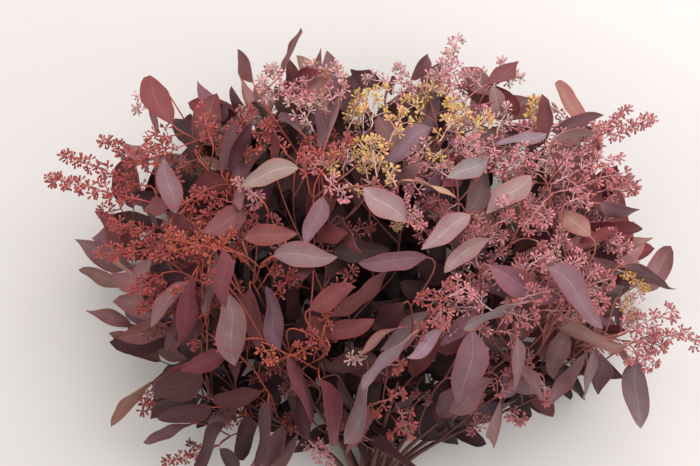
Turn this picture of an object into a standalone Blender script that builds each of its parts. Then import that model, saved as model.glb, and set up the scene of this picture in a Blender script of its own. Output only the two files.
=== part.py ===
"""A tied bunch of dyed seeded eucalyptus, lying on its back as it is laid on a table.

Sixteen leafy stems are held by one rubber band. Each stem, with the twigs, leaves and stalked buds
that grew on it, is one solid. The layout is worked out in millimetres, and the solids are in metres:
+X runs across the bunch, +Y from the band to the leaf tips, and +Z up from the table.
"""

import math
import random

import bmesh
import bpy
from mathutils import Matrix, Vector
from mathutils.bvhtree import BVHTree

METRES = 0.001  # one millimetre
SEED = 11

# The bunch is laid out on a flat sheet that is looked at from straight above.
SHEET_ACROSS = 700
SHEET_DOWN = 466
SHEET_HEIGHT = 150
EYE_HEIGHT = 1650

# The domed crown of leaves over the sheet.
CROWN_MIDDLE = (370, 240)
CROWN_HALF = (330, 215)
CROWN_RISE = 170
RIM_HEIGHT = 150
LOW_RIM_HEIGHT = 90
LOW_RIM_FROM = 300
LOW_RIM_TO = 480

# The bare stems, their band and the point that the stems fan out from.
STEM_RADIUS = 3.5
STEM_TIP_RADIUS = 1.3
STEM_PITCH = 7.3
STEM_SIDES = 5
STEM_REACH = 225
STEM_STEPS = 9
BAND_PLACE = (22, -312)
BAND_WIDTH = 12
BAND_THICKNESS = 1.8
BAND_CLEARANCE = 0.35
BAND_SIDES = 32
CUT_ENDS = -497
FAN_FROM = Vector((22, -262, 32))

# Twigs, leaves and stalked buds.
TWIG_RADIUS = 1.0
PETIOLE_RADIUS = 0.75
SHORT_TWIG = 26
LONG_TWIG = 62
NODE_LENGTH = 2.6
BLADE_THICKNESS = 1.5
BLADE_STATIONS = (0.36, 0.7)
INNER_STATIONS = (0.42,)
LEAF_LENGTH = 52
WIDTH_SHARE = 0.36
INNER_WIDTH_SHARE = 0.42
WIDE_CLUSTER = 24
WIDEST_LEAF = 33
LEAF_BOW = 0.13  # how far a leaf bows off straight, as a share of its length
AXIS_RADIUS = 0.75
BUD_RADIUS = 1.35
BUD_LENGTH = 6
CLEAR = 0.3  # kept free round each piece

# Which way each leafy stem points, as its heading off +Y and its rise off the table, in degrees, row
# by row from the lowest stems to the highest and from left to right.
STEM_ROWS = (
    ((-62, 12), (-34, 8), (0, 8), (32, 8), (56, 14)),
    ((-50, 40), (-28, 32), (-5, 28), (16, 28), (35, 31), (57, 31)),
    ((-27, 50), (-4, 42), (11, 57), (20, 42), (40, 46)),
)

# Where the leaves lie, in millimetres on the reading plane: foot across and down, tip across and
# down, the width that shows, and how far below the crown it lies.
LEAVES = [
    (172, 124, 150, 75, 25, 0), (149, 100, 157, 135, 7, 60), (195, 150, 172, 122, 18, 30),
    (147, 170, 122, 142, 13, 40), (176, 213, 164, 158, 21, -10), (167, 208, 143, 211, 17, 0),
    (170, 210, 197, 229, 14, 20), (228, 180, 188, 192, 22, 30), (196, 141, 217, 93, 28, 20),
    (222, 170, 233, 122, 20, 10), (228, 172, 251, 123, 10, 20), (219, 120, 227, 103, 3, 40),
    (253, 82, 238, 51, 13, 0), (284, 70, 301, 28, 10, 0), (268, 118, 251, 102, 6, 50),
    (318, 70, 294, 86, 14, 40), (300, 132, 281, 112, 14, 50), (275, 163, 273, 128, 9, 30),
    (303, 141, 313, 106, 15, 50), (321, 148, 317, 104, 10, 20), (328, 138, 341, 98, 6, 10),
    (326, 130, 338, 100, 14, 50), (385, 86, 350, 69, 11, 50), (332, 85, 357, 98, 13, 30),
    (388, 91, 399, 80, 9, 60), (411, 79, 428, 56, 9, 40), (400, 113, 427, 93, 14, 60),
    (452, 116, 431, 92, 9, 40), (428, 136, 434, 92, 13, 50), (430, 128, 382, 163, 22, 25),
    (396, 183, 420, 162, 15, 30), (444, 165, 418, 198, 8, 20), (402, 180, 456, 198, 3, 10),
    (443, 186, 463, 167, 18, 20), (487, 160, 446, 178, 18, 0), (531, 176, 486, 214, 22, 0),
    (298, 168, 241, 187, 20, 0), (364, 188, 406, 221, 25, -5), (470, 215, 421, 250, 21, -5),
    (489, 239, 444, 273, 16, 0), (427, 257, 358, 263, 16, 10), (340, 217, 361, 252, 8, 30),
    (323, 197, 305, 247, 18, 5), (316, 241, 348, 233, 18, 35), (245, 238, 298, 234, 20, 0),
    (246, 212, 202, 233, 25, 5), (238, 188, 240, 210, 11, 20), (274, 256, 338, 257, 23, -5),
    (308, 262, 301, 281, 15, 20), (223, 250, 226, 309, 17, -5), (216, 251, 205, 318, 15, 15),
    (226, 292, 235, 366, 28, 10), (250, 289, 259, 353, 20, 15), (280, 349, 265, 286, 18, 20),
    (310, 309, 354, 286, 19, 0), (330, 316, 390, 266, 14, 5), (326, 336, 375, 319, 18, 15),
    (326, 338, 311, 316, 17, 5), (404, 303, 372, 329, 24, 25), (428, 312, 380, 350, 21, 10),
    (398, 328, 358, 357, 7, 20), (412, 334, 362, 390, 12, 0), (442, 330, 407, 358, 14, 10),
    (440, 338, 412, 376, 18, 25), (478, 312, 440, 346, 16, 30), (530, 301, 463, 330, 7, 0),
    (472, 330, 457, 404, 31, 0), (482, 360, 471, 384, 14, 20), (370, 378, 344, 444, 15, 0),
    (381, 382, 364, 412, 17, 20), (368, 408, 347, 452, 14, 25), (320, 380, 337, 445, 17, 0),
    (286, 385, 291, 413, 13, 20), (288, 358, 312, 425, 9, 5), (296, 395, 308, 440, 15, 30),
    (268, 402, 254, 463, 20, 34), (246, 415, 243, 461, 17, 25),
    (298, 433, 266, 470, 14, 5), (283, 425, 242, 480, 18, 20), (225, 424, 192, 472, 20, 20),
    (220, 449, 236, 476, 8, 40), (262, 391, 212, 402, 19, 20), (212, 407, 157, 419, 21, 5),
    (202, 373, 154, 399, 31, 15), (202, 396, 150, 419, 18, 25), (184, 365, 149, 392, 19, 30),
    (151, 382, 111, 427, 8, 45), (192, 424, 143, 443, 12, 30), (229, 354, 180, 371, 19, 5),
    (192, 325, 166, 351, 21, 45), (193, 275, 175, 350, 11, 0), (187, 283, 151, 327, 17, 15),
    (198, 264, 160, 288, 17, 35), (152, 256, 130, 287, 18, 40), (137, 275, 111, 262, 9, 50),
    (172, 262, 148, 273, 12, 45), (199, 318, 180, 345, 14, 35), (241, 362, 234, 395, 15, 20),
    (206, 375, 207, 397, 8, 35), (379, 362, 324, 369, 21, 30), (322, 357, 346, 381, 16, 40),
    (340, 378, 357, 413, 9, 45), (368, 441, 424, 471, 11, 30), (356, 442, 371, 459, 10, 35),
    (454, 387, 440, 417, 13, 15), (491, 379, 449, 412, 24, 30), (500, 402, 494, 449, 19, 20),
    (517, 338, 513, 393, 15, 10), (515, 362, 542, 401, 15, 20), (546, 329, 542, 362, 18, 35),
    (562, 329, 554, 379, 19, 25), (584, 336, 583, 361, 11, 35), (585, 354, 546, 406, 19, 15),
    (593, 349, 583, 400, 17, 10), (599, 352, 598, 395, 12, 25), (560, 328, 626, 345, 18, 10),
    (613, 343, 632, 369, 12, 30), (637, 359, 641, 429, 21, 0), (490, 266, 560, 298, 25, 0),
    (548, 268, 603, 329, 27, 10), (607, 298, 618, 333, 19, 25), (625, 330, 600, 331, 9, 40),
    (590, 236, 556, 211, 20, 15), (601, 240, 560, 244, 15, 25), (580, 250, 617, 226, 12, 10),
    (572, 168, 605, 216, 26, 30), (600, 203, 638, 210, 10, 20), (585, 225, 643, 229, 14, 35),
    (626, 264, 677, 289, 8, 30), (594, 258, 622, 273, 15, 35), (604, 288, 623, 295, 11, 40),
    (547, 139, 542, 94, 11, 0), (552, 131, 604, 115, 16, 20), (555, 138, 598, 132, 8, 10),
    (546, 134, 491, 145, 13, 0), (547, 141, 524, 151, 9, 25), (599, 139, 571, 134, 7, 25),
    (493, 96, 461, 68, 22, 20), (488, 84, 519, 61, 20, 10), (492, 86, 504, 118, 16, 10),
    (496, 86, 517, 116, 18, 30), (491, 109, 467, 86, 16, 40), (546, 256, 525, 252, 14, 20),
    (477, 212, 499, 237, 18, 30), (465, 211, 489, 190, 15, 50), (451, 390, 408, 398, 14, 45),
    (413, 394, 394, 409, 10, 50), (496, 317, 499, 343, 11, 20), (513, 363, 499, 351, 10, 35),
    (222, 171, 195, 160, 10, 45), (232, 177, 262, 151, 16, 45), (341, 300, 300, 270, 18, 75),
    (300, 318, 286, 280, 15, 70), (455, 262, 420, 282, 18, 80), (430, 300, 400, 282, 20, 90),
    (390, 262, 352, 250, 20, 90), (262, 340, 240, 300, 18, 80), (520, 395, 482, 380, 18, 70),
]
# Where the seed clusters lie, in the same millimetres: foot across and down, tip across and down,
# how wide the cluster spreads, and how far below the crown it lies.
CLUSTERS = [
    (146, 201, 44, 177, 26, 20), (150, 186, 60, 156, 22, 30), (156, 166, 98, 139, 20, 40),
    (165, 152, 122, 166, 26, 10), (182, 146, 140, 151, 24, 20), (165, 247, 92, 256, 26, 20),
    (165, 236, 106, 222, 24, 30), (192, 246, 150, 258, 24, 5), (235, 252, 163, 238, 34, -5),
    (226, 250, 190, 224, 22, 5), (222, 246, 234, 226, 15, -5), (168, 272, 127, 294, 26, 25),
    (166, 300, 134, 311, 22, 35), (165, 324, 144, 338, 15, 45), (212, 142, 200, 103, 24, 5),
    (222, 164, 217, 112, 12, 30), (232, 202, 188, 190, 22, 35), (257, 196, 231, 178, 17, 0),
    (244, 184, 263, 208, 27, 5), (322, 172, 298, 149, 34, 5), (326, 166, 352, 133, 27, 5),
    (331, 166, 299, 162, 25, 15), (331, 182, 333, 148, 20, 15), (377, 176, 369, 133, 34, 0),
    (360, 162, 388, 139, 30, 5), (396, 186, 384, 164, 26, 10), (390, 141, 406, 106, 30, 0),
    (372, 126, 375, 84, 36, 25), (441, 151, 428, 162, 24, 10), (440, 141, 466, 104, 32, 10),
    (470, 136, 492, 110, 28, 10), (455, 126, 450, 95, 22, 25), (350, 184, 363, 197, 15, 20),
    (397, 222, 393, 232, 9, 35), (325, 176, 351, 203, 26, -5), (365, 180, 397, 196, 22, 0),
    (384, 190, 425, 231, 28, 10), (342, 77, 300, 64, 20, 50), (346, 82, 331, 60, 16, 55),
    (322, 97, 300, 104, 18, 55), (402, 88, 400, 62, 20, 55), (427, 88, 428, 68, 18, 50),
    (431, 87, 461, 35, 21, 45), (468, 92, 457, 84, 10, 50), (531, 131, 535, 93, 20, 40),
    (500, 71, 503, 57, 8, 40), (262, 118, 236, 108, 18, 60), (500, 151, 453, 141, 36, 5),
    (521, 166, 478, 160, 34, 10), (546, 161, 510, 150, 30, 0), (541, 176, 500, 166, 30, 20),
    (560, 161, 602, 124, 36, 20), (556, 181, 603, 158, 38, 15), (560, 191, 617, 174, 34, 10),
    (570, 201, 592, 196, 34, 15), (546, 200, 519, 231, 34, 5), (540, 214, 552, 226, 32, 0),
    (512, 200, 494, 205, 20, 0), (500, 222, 518, 214, 26, 10),
    (534, 240, 547, 246, 28, 20), (441, 200, 419, 206, 24, 25), (456, 204, 439, 216, 22, 25),
    (541, 131, 514, 124, 22, 30), (598, 134, 629, 107, 13, 30), (600, 139, 656, 117, 20, 25),
    (609, 166, 641, 192, 28, 20), (606, 165, 624, 155, 15, 15), (598, 192, 640, 186, 24, 30),
    (530, 266, 553, 249, 25, 0), (560, 271, 588, 254, 27, 5), (588, 277, 602, 264, 26, 15),
    (598, 282, 617, 276, 28, 15), (580, 301, 612, 301, 31, 5), (622, 234, 603, 251, 22, 40),
    (610, 226, 634, 236, 17, 25), (618, 270, 651, 289, 15, 35), (620, 299, 636, 319, 17, 45),
    (619, 334, 678, 308, 36, 5), (640, 343, 692, 331, 24, 10), (688, 339, 712, 352, 22, 15),
    (618, 341, 656, 367, 32, 10), (640, 331, 666, 350, 28, 15), (452, 301, 413, 298, 25, -5),
    (441, 306, 440, 331, 32, -5), (450, 296, 472, 284, 32, 0),
    (411, 336, 428, 324, 26, 0), (452, 294, 443, 279, 20, 5), (520, 299, 566, 285, 34, -5),
    (500, 311, 542, 321, 32, 10), (500, 331, 521, 336, 27, 15), (546, 310, 581, 311, 29, 5),
    (490, 330, 474, 325, 13, 15), (153, 393, 141, 413, 22, 40), (238, 414, 212, 411, 17, 45),
    (241, 414, 251, 427, 14, 40), (206, 451, 160, 463, 19, 45), (199, 447, 185, 440, 11, 50),
    (242, 340, 214, 348, 20, -5), (262, 345, 276, 366, 29, -5), (290, 356, 318, 344, 26, 5),
    (300, 330, 327, 344, 21, 10), (291, 432, 289, 411, 20, 20), (309, 441, 331, 462, 27, 15),
    (346, 408, 341, 431, 18, 35), (386, 365, 409, 364, 24, 10), (386, 400, 407, 389, 26, 0),
    (383, 404, 373, 415, 24, 0), (399, 410, 411, 436, 30, 5), (418, 401, 432, 390, 20, 45),
    (397, 428, 388, 438, 16, 15), (468, 408, 479, 417, 16, 15), (499, 379, 506, 396, 28, 5),
    (483, 401, 477, 386, 14, 15), (508, 412, 526, 422, 24, 10), (503, 375, 521, 369, 16, 5),
    (529, 351, 527, 379, 13, 30), (544, 384, 545, 406, 18, 10), (589, 346, 616, 351, 15, 30),
    (191, 330, 196, 352, 18, 35), (209, 268, 208, 287, 13, 5), (183, 285, 171, 298, 13, 0),
]
# Leaves that lie on the table under the bunch and carry it: foot and tip on the sheet.
RESTING = [
    (235, 250, 180, 232), (245, 150, 200, 112), (330, 110, 312, 62), (420, 112, 440, 62),
    (500, 155, 548, 122), (510, 250, 566, 238), (300, 330, 248, 352), (450, 335, 500, 358),
]
RESTING_WIDTH = 22
INNER_LEAVES = 106
INNER_TRIES = 6000
LIFTS = (0, -9, 9, -18, 18, -28, 28, -40, 40, -55)  # how far a piece may be moved up or down to lie clear
ROOTS_TRIED = 5


def on_sheet(across, down, height):
    """The point that shows at that place of the sheet, at that height over the table."""
    grow = (EYE_HEIGHT - height) / (EYE_HEIGHT - SHEET_HEIGHT)
    return Vector(((across - SHEET_ACROSS / 2) * grow, (SHEET_DOWN / 2 - down) * grow, height))


def off_middle(place):
    """How far a place of the sheet lies from the crown's middle, where 1 is its rim."""
    return math.hypot(*((p - m) / h for p, m, h in zip(place, CROWN_MIDDLE, CROWN_HALF)))


def crown_height(place):
    """How high the crown stands over that place of the sheet."""
    lower = min(max((place[1] - LOW_RIM_FROM) / (LOW_RIM_TO - LOW_RIM_FROM), 0), 1)
    rim = RIM_HEIGHT + (LOW_RIM_HEIGHT - RIM_HEIGHT) * lower
    return rim + CROWN_RISE * math.sqrt(max(0, 1 - off_middle(place) ** 2))


def along(curve, t):
    """The point at t on a cubic curve and the way it runs there."""
    a, b, c, d = curve
    s = 1 - t
    point = a * s**3 + b * 3 * s * s * t + c * 3 * s * t * t + d * t**3
    way = (b - a) * s * s + (c - b) * 2 * s * t + (d - c) * t * t
    return point, way.normalized()


def square_to(side, way):
    """The part of side that is square to way, one long."""
    flat = side - way * side.dot(way)
    if flat.length < 1e-6:
        flat = way.orthogonal()
    return flat.normalized()


def round_ring(centre, side, way, radius, sides):
    """Points round a stalk."""
    up = way.cross(side)
    turns = [math.tau * i / sides for i in range(sides)]
    return [centre + (side * math.cos(a) + up * math.sin(a)) * radius for a in turns]


class Surface:
    """One closed surface. What grows on it is drawn out of its faces, so that all of it is one solid."""

    def __init__(self):
        self.points = []
        self.faces = []

    def bridge(self, near, far):
        """Faces from one ring of point numbers to the next, which may be one point or wider by one."""
        if len(far) == 1:
            self.faces += [(near[i - 1], near[i], far[0]) for i in range(len(near))]
            return
        turned = [near[k:] + near[:k] for k in range(len(near))]
        spokes = {i: (self.points[i] - self.middle(ring)).normalized() for ring in (near, far) for i in ring}
        near = max(turned, key=lambda ring: sum(spokes[a].dot(spokes[b]) for a, b in zip(ring, far)))
        n, m = len(near), len(far)
        for i in range(n if n == m else n - 1):
            j = (i + 1) % n
            a, b, c, d = (self.points[k] for k in (near[i], near[j], far[i], far[j]))
            # The underside of a blade is split as its upper side is, and a stalk along its short diagonals.
            if (n == 4 and i > 1) or (n < 4 and (a - d).length < (b - c).length):
                self.faces += [(near[i], near[j], far[j]), (near[i], far[j], far[i])]
            else:
                self.faces += [(near[i], near[j], far[i]), (near[j], far[j], far[i])]
        if m > n:
            self.faces += [(near[-1], far[-1], far[-2]), (near[-1], near[0], far[-1]), (near[0], far[0], far[-1])]

    def loft(self, rings, base=None):
        """Lofts through rings of points, out of the face base where one is given, and gives back the
        number of the first face of each stretch and of the end."""
        numbers = []
        for ring in rings:
            numbers.append(tuple(range(len(self.points), len(self.points) + len(ring))))
            self.points += ring
        if base is None:
            self.faces.append(numbers[0][::-1])
        else:
            self.bridge(self.faces[base], numbers[0])
            self.faces[base] = None
        stretches = []
        for near, far in zip(numbers, numbers[1:]):
            stretches.append(len(self.faces))
            self.bridge(near, far)
        stretches.append(len(self.faces))
        if len(numbers[-1]) > 1:
            self.faces.append(numbers[-1])
        return stretches

    def middle(self, ring):
        return sum((self.points[i] for i in ring), Vector()) / len(ring)

    def normal(self, face):
        a, b, c = (self.points[i] for i in self.faces[face][:3])
        return (b - a).cross(c - a).normalized()

    def spoke(self, face, way):
        """Which way the first corner of a face lies from its middle, seen along way."""
        corners = self.faces[face]
        return square_to(self.points[corners[0]] - self.middle(corners), way)

    def free_face(self, node, way):
        """The node's free face that looks most the way a twig leaves. The node loses it."""
        face = max(node["faces"], key=lambda f: self.normal(f).dot(way))
        node["faces"].remove(face)
        return face

    def bud(self, base, tip):
        """Draws a face out into a stalked bud that ends at tip."""
        root = self.middle(self.faces[base])
        way = (tip - root).normalized()
        side = self.spoke(base, way)
        self.loft([round_ring(tip - way * BUD_LENGTH * 0.6, side, way, BUD_RADIUS, 3), [tip]], base)

    def solid(self):
        return self.points, [face for face in self.faces if face]


def new_node(centre, way, most):
    """A place on a stalk that up to so many twigs may grow from."""
    return {"centre": centre, "way": way, "most": most, "out": [], "faces": []}


def stem_routes():
    """Where each leafy stem runs, from its cut end to its tip, with the nodes that twigs leave from."""
    rng = random.Random(SEED)
    forward = Vector((0, 1, 0))
    stems = []
    for row, ways in enumerate(STEM_ROWS):
        for place, (heading, rise) in enumerate(ways):
            tied = tied_place(row, place)
            off = tied.x - BAND_PLACE[0]
            h, r = math.radians(heading), math.radians(rise)
            way = Vector((math.sin(h) * math.cos(r), math.cos(h) * math.cos(r), math.sin(r)))
            cut = Vector((BAND_PLACE[0] + off * 1.35, CUT_ENDS + rng.uniform(0, 16), tied.z + row))
            end = FAN_FROM + Vector((off, 0, tied.z - 12)) * 0.9 + way * STEM_REACH
            leave = tied + forward * 16
            curve = (leave, leave + forward * 62 + Vector((0, 0, 6 * (row - 0.6))), end - way * 110, end)
            stops = [(cut, forward, STEM_RADIUS, None), (tied - forward * 16, forward, STEM_RADIUS, None)]
            nodes = []
            for step in range(STEM_STEPS + 1):
                share = step / STEM_STEPS
                centre, turn = along(curve, share)
                radius = STEM_RADIUS + (STEM_TIP_RADIUS - STEM_RADIUS) * share**0.8
                node = None
                if 2 < step < STEM_STEPS:
                    node = new_node(centre, turn, 3)
                    nodes.append(node)
                stops.append((centre, turn, radius, node))
            stems.append({"stops": stops, "way": way, "nodes": nodes, "items": []})
    return stems


def tied_place(row, place):
    """Where a stem passes through the band: the stems lie in rows, each in the hollows of the last."""
    off = (place - (len(STEM_ROWS[row]) - 1) / 2) * STEM_PITCH
    height = BAND_THICKNESS + BAND_CLEARANCE + STEM_RADIUS + row * STEM_PITCH * math.sqrt(3) / 2
    return Vector((BAND_PLACE[0] + off, BAND_PLACE[1], height))


def stalk_rings(stops, side, sides, grow=0):
    """The rings of a stalk through its stops, with a short pair of rings at each node that bears a
    twig, and which ring starts each such pair."""
    rings = []
    pairs = []
    for centre, way, radius, node in stops:
        side = square_to(side, way)
        if node and node["out"]:
            out = square_to(node["out"][0], way)
            turns = [Matrix.Rotation(math.pi / sides * (2 * k + 1), 3, way) @ out for k in range(sides)]
            side = max(turns, key=side.dot)
            pairs.append((len(rings), node))
            rings.append(round_ring(centre - way * NODE_LENGTH / 2, side, way, radius + grow, sides))
            rings.append(round_ring(centre + way * NODE_LENGTH / 2, side, way, radius + grow, sides))
        else:
            rings.append(round_ring(centre, side, way, radius + grow, sides))
    return rings, pairs


def claim_faces(pairs, stretches, sides):
    """Notes which faces each node's twigs may be drawn out of."""
    for ring, node in pairs:
        node["faces"] = [stretches[ring] + 2 * i for i in range(sides)]


def grow_stem(surface, stem):
    """The stem as a tube that thins towards its tip."""
    rings, pairs = stalk_rings(stem["stops"], Vector((1, 0, 0)), STEM_SIDES)
    claim_faces(pairs, surface.loft(rings), STEM_SIDES)


def twig_curve(root, way, foot, leaving):
    """The route of a twig from its parent to the foot of what it carries."""
    reach = (foot - root).length * 0.36
    ahead = (foot - root).normalized()
    out = (way * 0.8 + ahead * 0.3 + square_to(ahead, way)).normalized()
    return (root, root + out * reach, foot - leaving * reach, foot)


def twig_stops(curve, most):
    """The bends of a twig, each with a node that other twigs may leave from."""
    reach = (curve[3] - curve[0]).length
    shares = () if reach < SHORT_TWIG else (0.55,) if reach < LONG_TWIG or most == 1 else (0.35, 0.72)
    stops = []
    for share in shares:
        centre, way = along(curve, share)
        stops.append((centre, way, TWIG_RADIUS, new_node(centre, way, 2)))
    return stops


def blade_rings(leaf, grow):
    """The rings of a blade that is creased along its rib, from its petiole to its tip."""
    rings = []
    for t in leaf["stations"]:
        centre, way = along(leaf["blade"], t)
        turn = Matrix.Rotation(leaf["roll"] + leaf["twist"] * (t - 0.4), 3, way)
        normal = turn @ square_to(leaf["facing"], way)
        side = normal.cross(way)
        half = leaf["width"] / 2 * (1 if t < 0.5 else 0.74) + grow
        thick = normal * (BLADE_THICKNESS / 2 + grow)
        rise = normal * half * leaf["fold"]
        rings.append([centre + side * half + rise, centre + thick, centre - side * half + rise, centre - thick])
    foot, way = along(leaf["blade"], 0)
    side = square_to(rings[0][0] - rings[0][2], way)
    petiole = round_ring(foot, side, way, PETIOLE_RADIUS + grow, 3)
    return [petiole, *rings, [leaf["blade"][3]]]


def axis_rings(cluster, grow):
    """The rings of a cluster's axis: a short pair where its side buds leave, and its end."""
    rings = []
    for t in cluster["nodes"]:
        centre, way = along(cluster["axis"], t)
        rings.append(round_ring(centre, square_to(cluster["side"], way), way, AXIS_RADIUS + grow, 3))
    return rings


def grow_item(surface, item, base=None, grow=0):
    """A leaf or a cluster on its own twig, drawn out of the face base or, without one, by itself."""
    root, foot = item["twig"][0], item["twig"][3]
    stops = item["stops"]
    ahead = (stops[0][0] if stops else foot) - root
    if base is None:
        stops = [(root, ahead.normalized(), TWIG_RADIUS, None), *stops]
        side = ahead.orthogonal()
    else:
        side = surface.spoke(base, ahead.normalized())
    rings, pairs = stalk_rings(stops, side, 3, grow)
    first = len(rings)
    rings += blade_rings(item, grow) if item["kind"] == "leaf" else axis_rings(item, grow)
    stretches = surface.loft(rings, base)
    claim_faces(pairs, stretches, 3)
    if item["kind"] == "cluster":
        for place, tip in enumerate(item["tips"][:-1]):
            surface.bud(stretches[first] + 2 * place, tip)
        surface.bud(stretches[-1], item["tips"][-1])


def lone_solid(item, grow):
    """A leaf or a cluster by itself, as much thicker as asked."""
    surface = Surface()
    grow_item(surface, item, None, grow)
    return surface.solid()


def box_of(points):
    """The lowest and the highest corner round some points."""
    return [min(p[i] for p in points) for i in range(3)], [max(p[i] for p in points) for i in range(3)]


class Crowd:
    """What stands already, to keep the sprays clear of each other."""

    def __init__(self):
        self.pieces = []

    def add(self, spray, solid):
        self.pieces.append((spray, *box_of(solid[0]), BVHTree.FromPolygons(*solid)))

    def hit(self, spray, solid):
        """Whether a piece would cross another spray."""
        low, high = box_of(solid[0])
        tree = BVHTree.FromPolygons(*solid)
        for other, other_low, other_high, other_tree in self.pieces:
            apart = any(low[i] > other_high[i] or high[i] < other_low[i] for i in range(3))
            if other != spray and not apart and tree.overlap(other_tree):
                return True
        return False


def crosses_itself(solid):
    """Whether two faces of a solid cross that have no corner in common."""
    faces = solid[1]
    tree = BVHTree.FromPolygons(*solid)
    return any(a < b and not set(faces[a]) & set(faces[b]) for a, b in tree.overlap(tree))


def shape_leaf(rng, foot, tip, shown, stations):
    """A leaf's shape from where its foot and tip are and how wide it shows."""
    length = (tip - foot).length
    width = min(max(shown, (WIDTH_SHARE if shown else INNER_WIDTH_SHARE) * length), WIDEST_LEAF)
    lean = math.acos(min(1, shown / width)) if shown else rng.uniform(0, 1.1)
    way = (tip - foot).normalized()
    facing = square_to(Vector((0, 0, 1)) + (foot - FAN_FROM).normalized() * 0.15, way)
    across = facing.cross(way)
    bows = [rng.uniform(-LEAF_BOW, LEAF_BOW) * length for _ in range(4)]
    first = foot.lerp(tip, 0.33) + across * bows[0] + facing * abs(bows[1])
    second = foot.lerp(tip, 0.67) + across * bows[2] + facing * bows[3]
    return {
        "kind": "leaf", "blade": (foot, first, second, tip), "width": width, "facing": facing,
        "stations": stations, "roll": lean * rng.choice((-1, 1)), "twist": rng.uniform(-0.6, 0.6),
        "fold": rng.uniform(0.05, 0.3),
    }


def shape_cluster(rng, foot, tip, spread):
    """A bud cluster's shape from where its axis starts and ends and how wide it spreads."""
    length = (tip - foot).length
    bend = (tip - foot).orthogonal() * rng.uniform(-0.1, 0.1)
    axis = (foot, foot.lerp(tip, 0.33) + bend, foot.lerp(tip, 0.67) - bend, tip)
    node = 0.42 if length > 26 else 0.25
    nodes = (node, node + NODE_LENGTH / length, max(1 - 9 / length, node + 2 * NODE_LENGTH / length))
    centre, way = along(axis, node)
    side = square_to(Vector((rng.gauss(0, 1), rng.gauss(0, 1), rng.gauss(0, 1))), way)
    up = way.cross(side)
    tips = []
    for place in range(3 if spread > WIDE_CLUSTER else 2):
        angle = math.tau * (place + 0.5) / 3
        out = side * math.cos(angle) + up * math.sin(angle)
        tips.append(centre + (out * 0.5 + way * rng.uniform(0.15, 0.5)) * max(spread, 14))
    tips.append(tip)
    return {"kind": "cluster", "axis": axis, "nodes": nodes, "side": side, "tips": tips, "spread": spread}


def nearest_stem(stems, point):
    """The number of the stem that points closest to a point, seen from the foot of the fan."""
    way = (point - FAN_FROM).normalized()
    return max(range(len(stems)), key=lambda n: stems[n]["way"].dot(way))


def root_nodes(stem, foot, most):
    """The nodes of a spray that a twig to foot may leave from, best first."""
    found = []
    for node in stem["nodes"]:
        reach = foot - node["centre"]
        way = node["way"]
        turn = reach.normalized().dot(way)
        if reach.length < 8 or turn < 0 or len(node["out"]) >= node["most"]:
            continue
        out = square_to(reach, way)
        apart = 0.3 if node["most"] < 3 else 0.65
        if all(out.dot(square_to(other, way)) < apart for other in node["out"]):
            found.append((reach.length * (1.7 - turn), node))
    found.sort(key=lambda entry: entry[0])
    return [node for _, node in found[:most]]


def settle(stems, crowd, foot, make, roots=ROOTS_TRIED):
    """Grows what make shapes on the nearest stem, from the first node where it lies clear."""
    item = make()
    curve = item.get("blade") or item["axis"]
    number = nearest_stem(stems, curve[0].lerp(curve[3], 0.3))
    stem = stems[number]
    for node in root_nodes(stem, foot, roots):
        item["node"] = node
        item["twig"] = twig_curve(node["centre"], node["way"], curve[0], along(curve, 0)[1])
        item["stops"] = twig_stops(item["twig"], item.get("bends", 2))
        thick = lone_solid(item, CLEAR)
        lowest = min(p.z for p in thick[0])
        if lowest < -CLEAR - 0.01 or (not item.get("rests") and lowest < 2) or crowd.hit(number, thick):
            continue
        node["out"].append(along(item["twig"], 0)[1])
        stem["items"].append(item)
        if crosses_itself(spray_solid(stem)):
            node["out"].pop()
            stem["items"].pop()
            continue
        stem["nodes"] += [stop[3] for stop in item["stops"]]
        crowd.add(number, lone_solid(item, 0))
        return True
    return False


def hand_ends(rng, kind, foot_place, tip_place, below):
    """Where the foot and the tip are. A leaf that shows short is tilted to its real length."""
    height = crown_height(foot_place) - below
    lean = (crown_height(tip_place) - crown_height(foot_place)) * 0.6
    if kind == "leaf":
        shown = math.dist(foot_place, tip_place)
        short = math.sqrt(max(0, LEAF_LENGTH**2 - shown**2 - lean**2))
        outer = off_middle(tip_place) > 0.6
        lean += min(short, 34) * (-1 if outer else rng.choice((-1, 1)))
    return on_sheet(*foot_place, height), on_sheet(*tip_place, max(height + lean, 8))


def place_by_hand(stems, crowd, state, kind, foot_place, tip_place, size, below):
    """Puts a leaf or a cluster where it shows, at the first depth where it is clear."""
    for lift in LIFTS:
        def make():
            rng = random.Random(state)
            foot, tip = hand_ends(rng, kind, foot_place, tip_place, below - lift)
            if kind == "leaf":
                return shape_leaf(rng, foot, tip, size, BLADE_STATIONS)
            return shape_cluster(rng, foot, tip, size)
        foot = on_sheet(*foot_place, crown_height(foot_place) - below + lift)
        if settle(stems, crowd, foot, make):
            return True
    return False


def place_resting(stems, crowd, state, foot_place, tip_place):
    """Lays a flat leaf on the table."""
    foot, tip = on_sheet(*foot_place, 9), on_sheet(*tip_place, 3)

    def make():
        leaf = shape_leaf(random.Random(state), foot, tip, RESTING_WIDTH, BLADE_STATIONS)
        leaf["roll"] = leaf["twist"] = leaf["fold"] = 0
        leaf["rests"] = True
        sink = Vector((0, 0, min(p.z for ring in blade_rings(leaf, 0) for p in ring)))
        leaf["blade"] = tuple(p - sink for p in leaf["blade"])
        return leaf
    return settle(stems, crowd, foot, make, 12)


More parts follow.
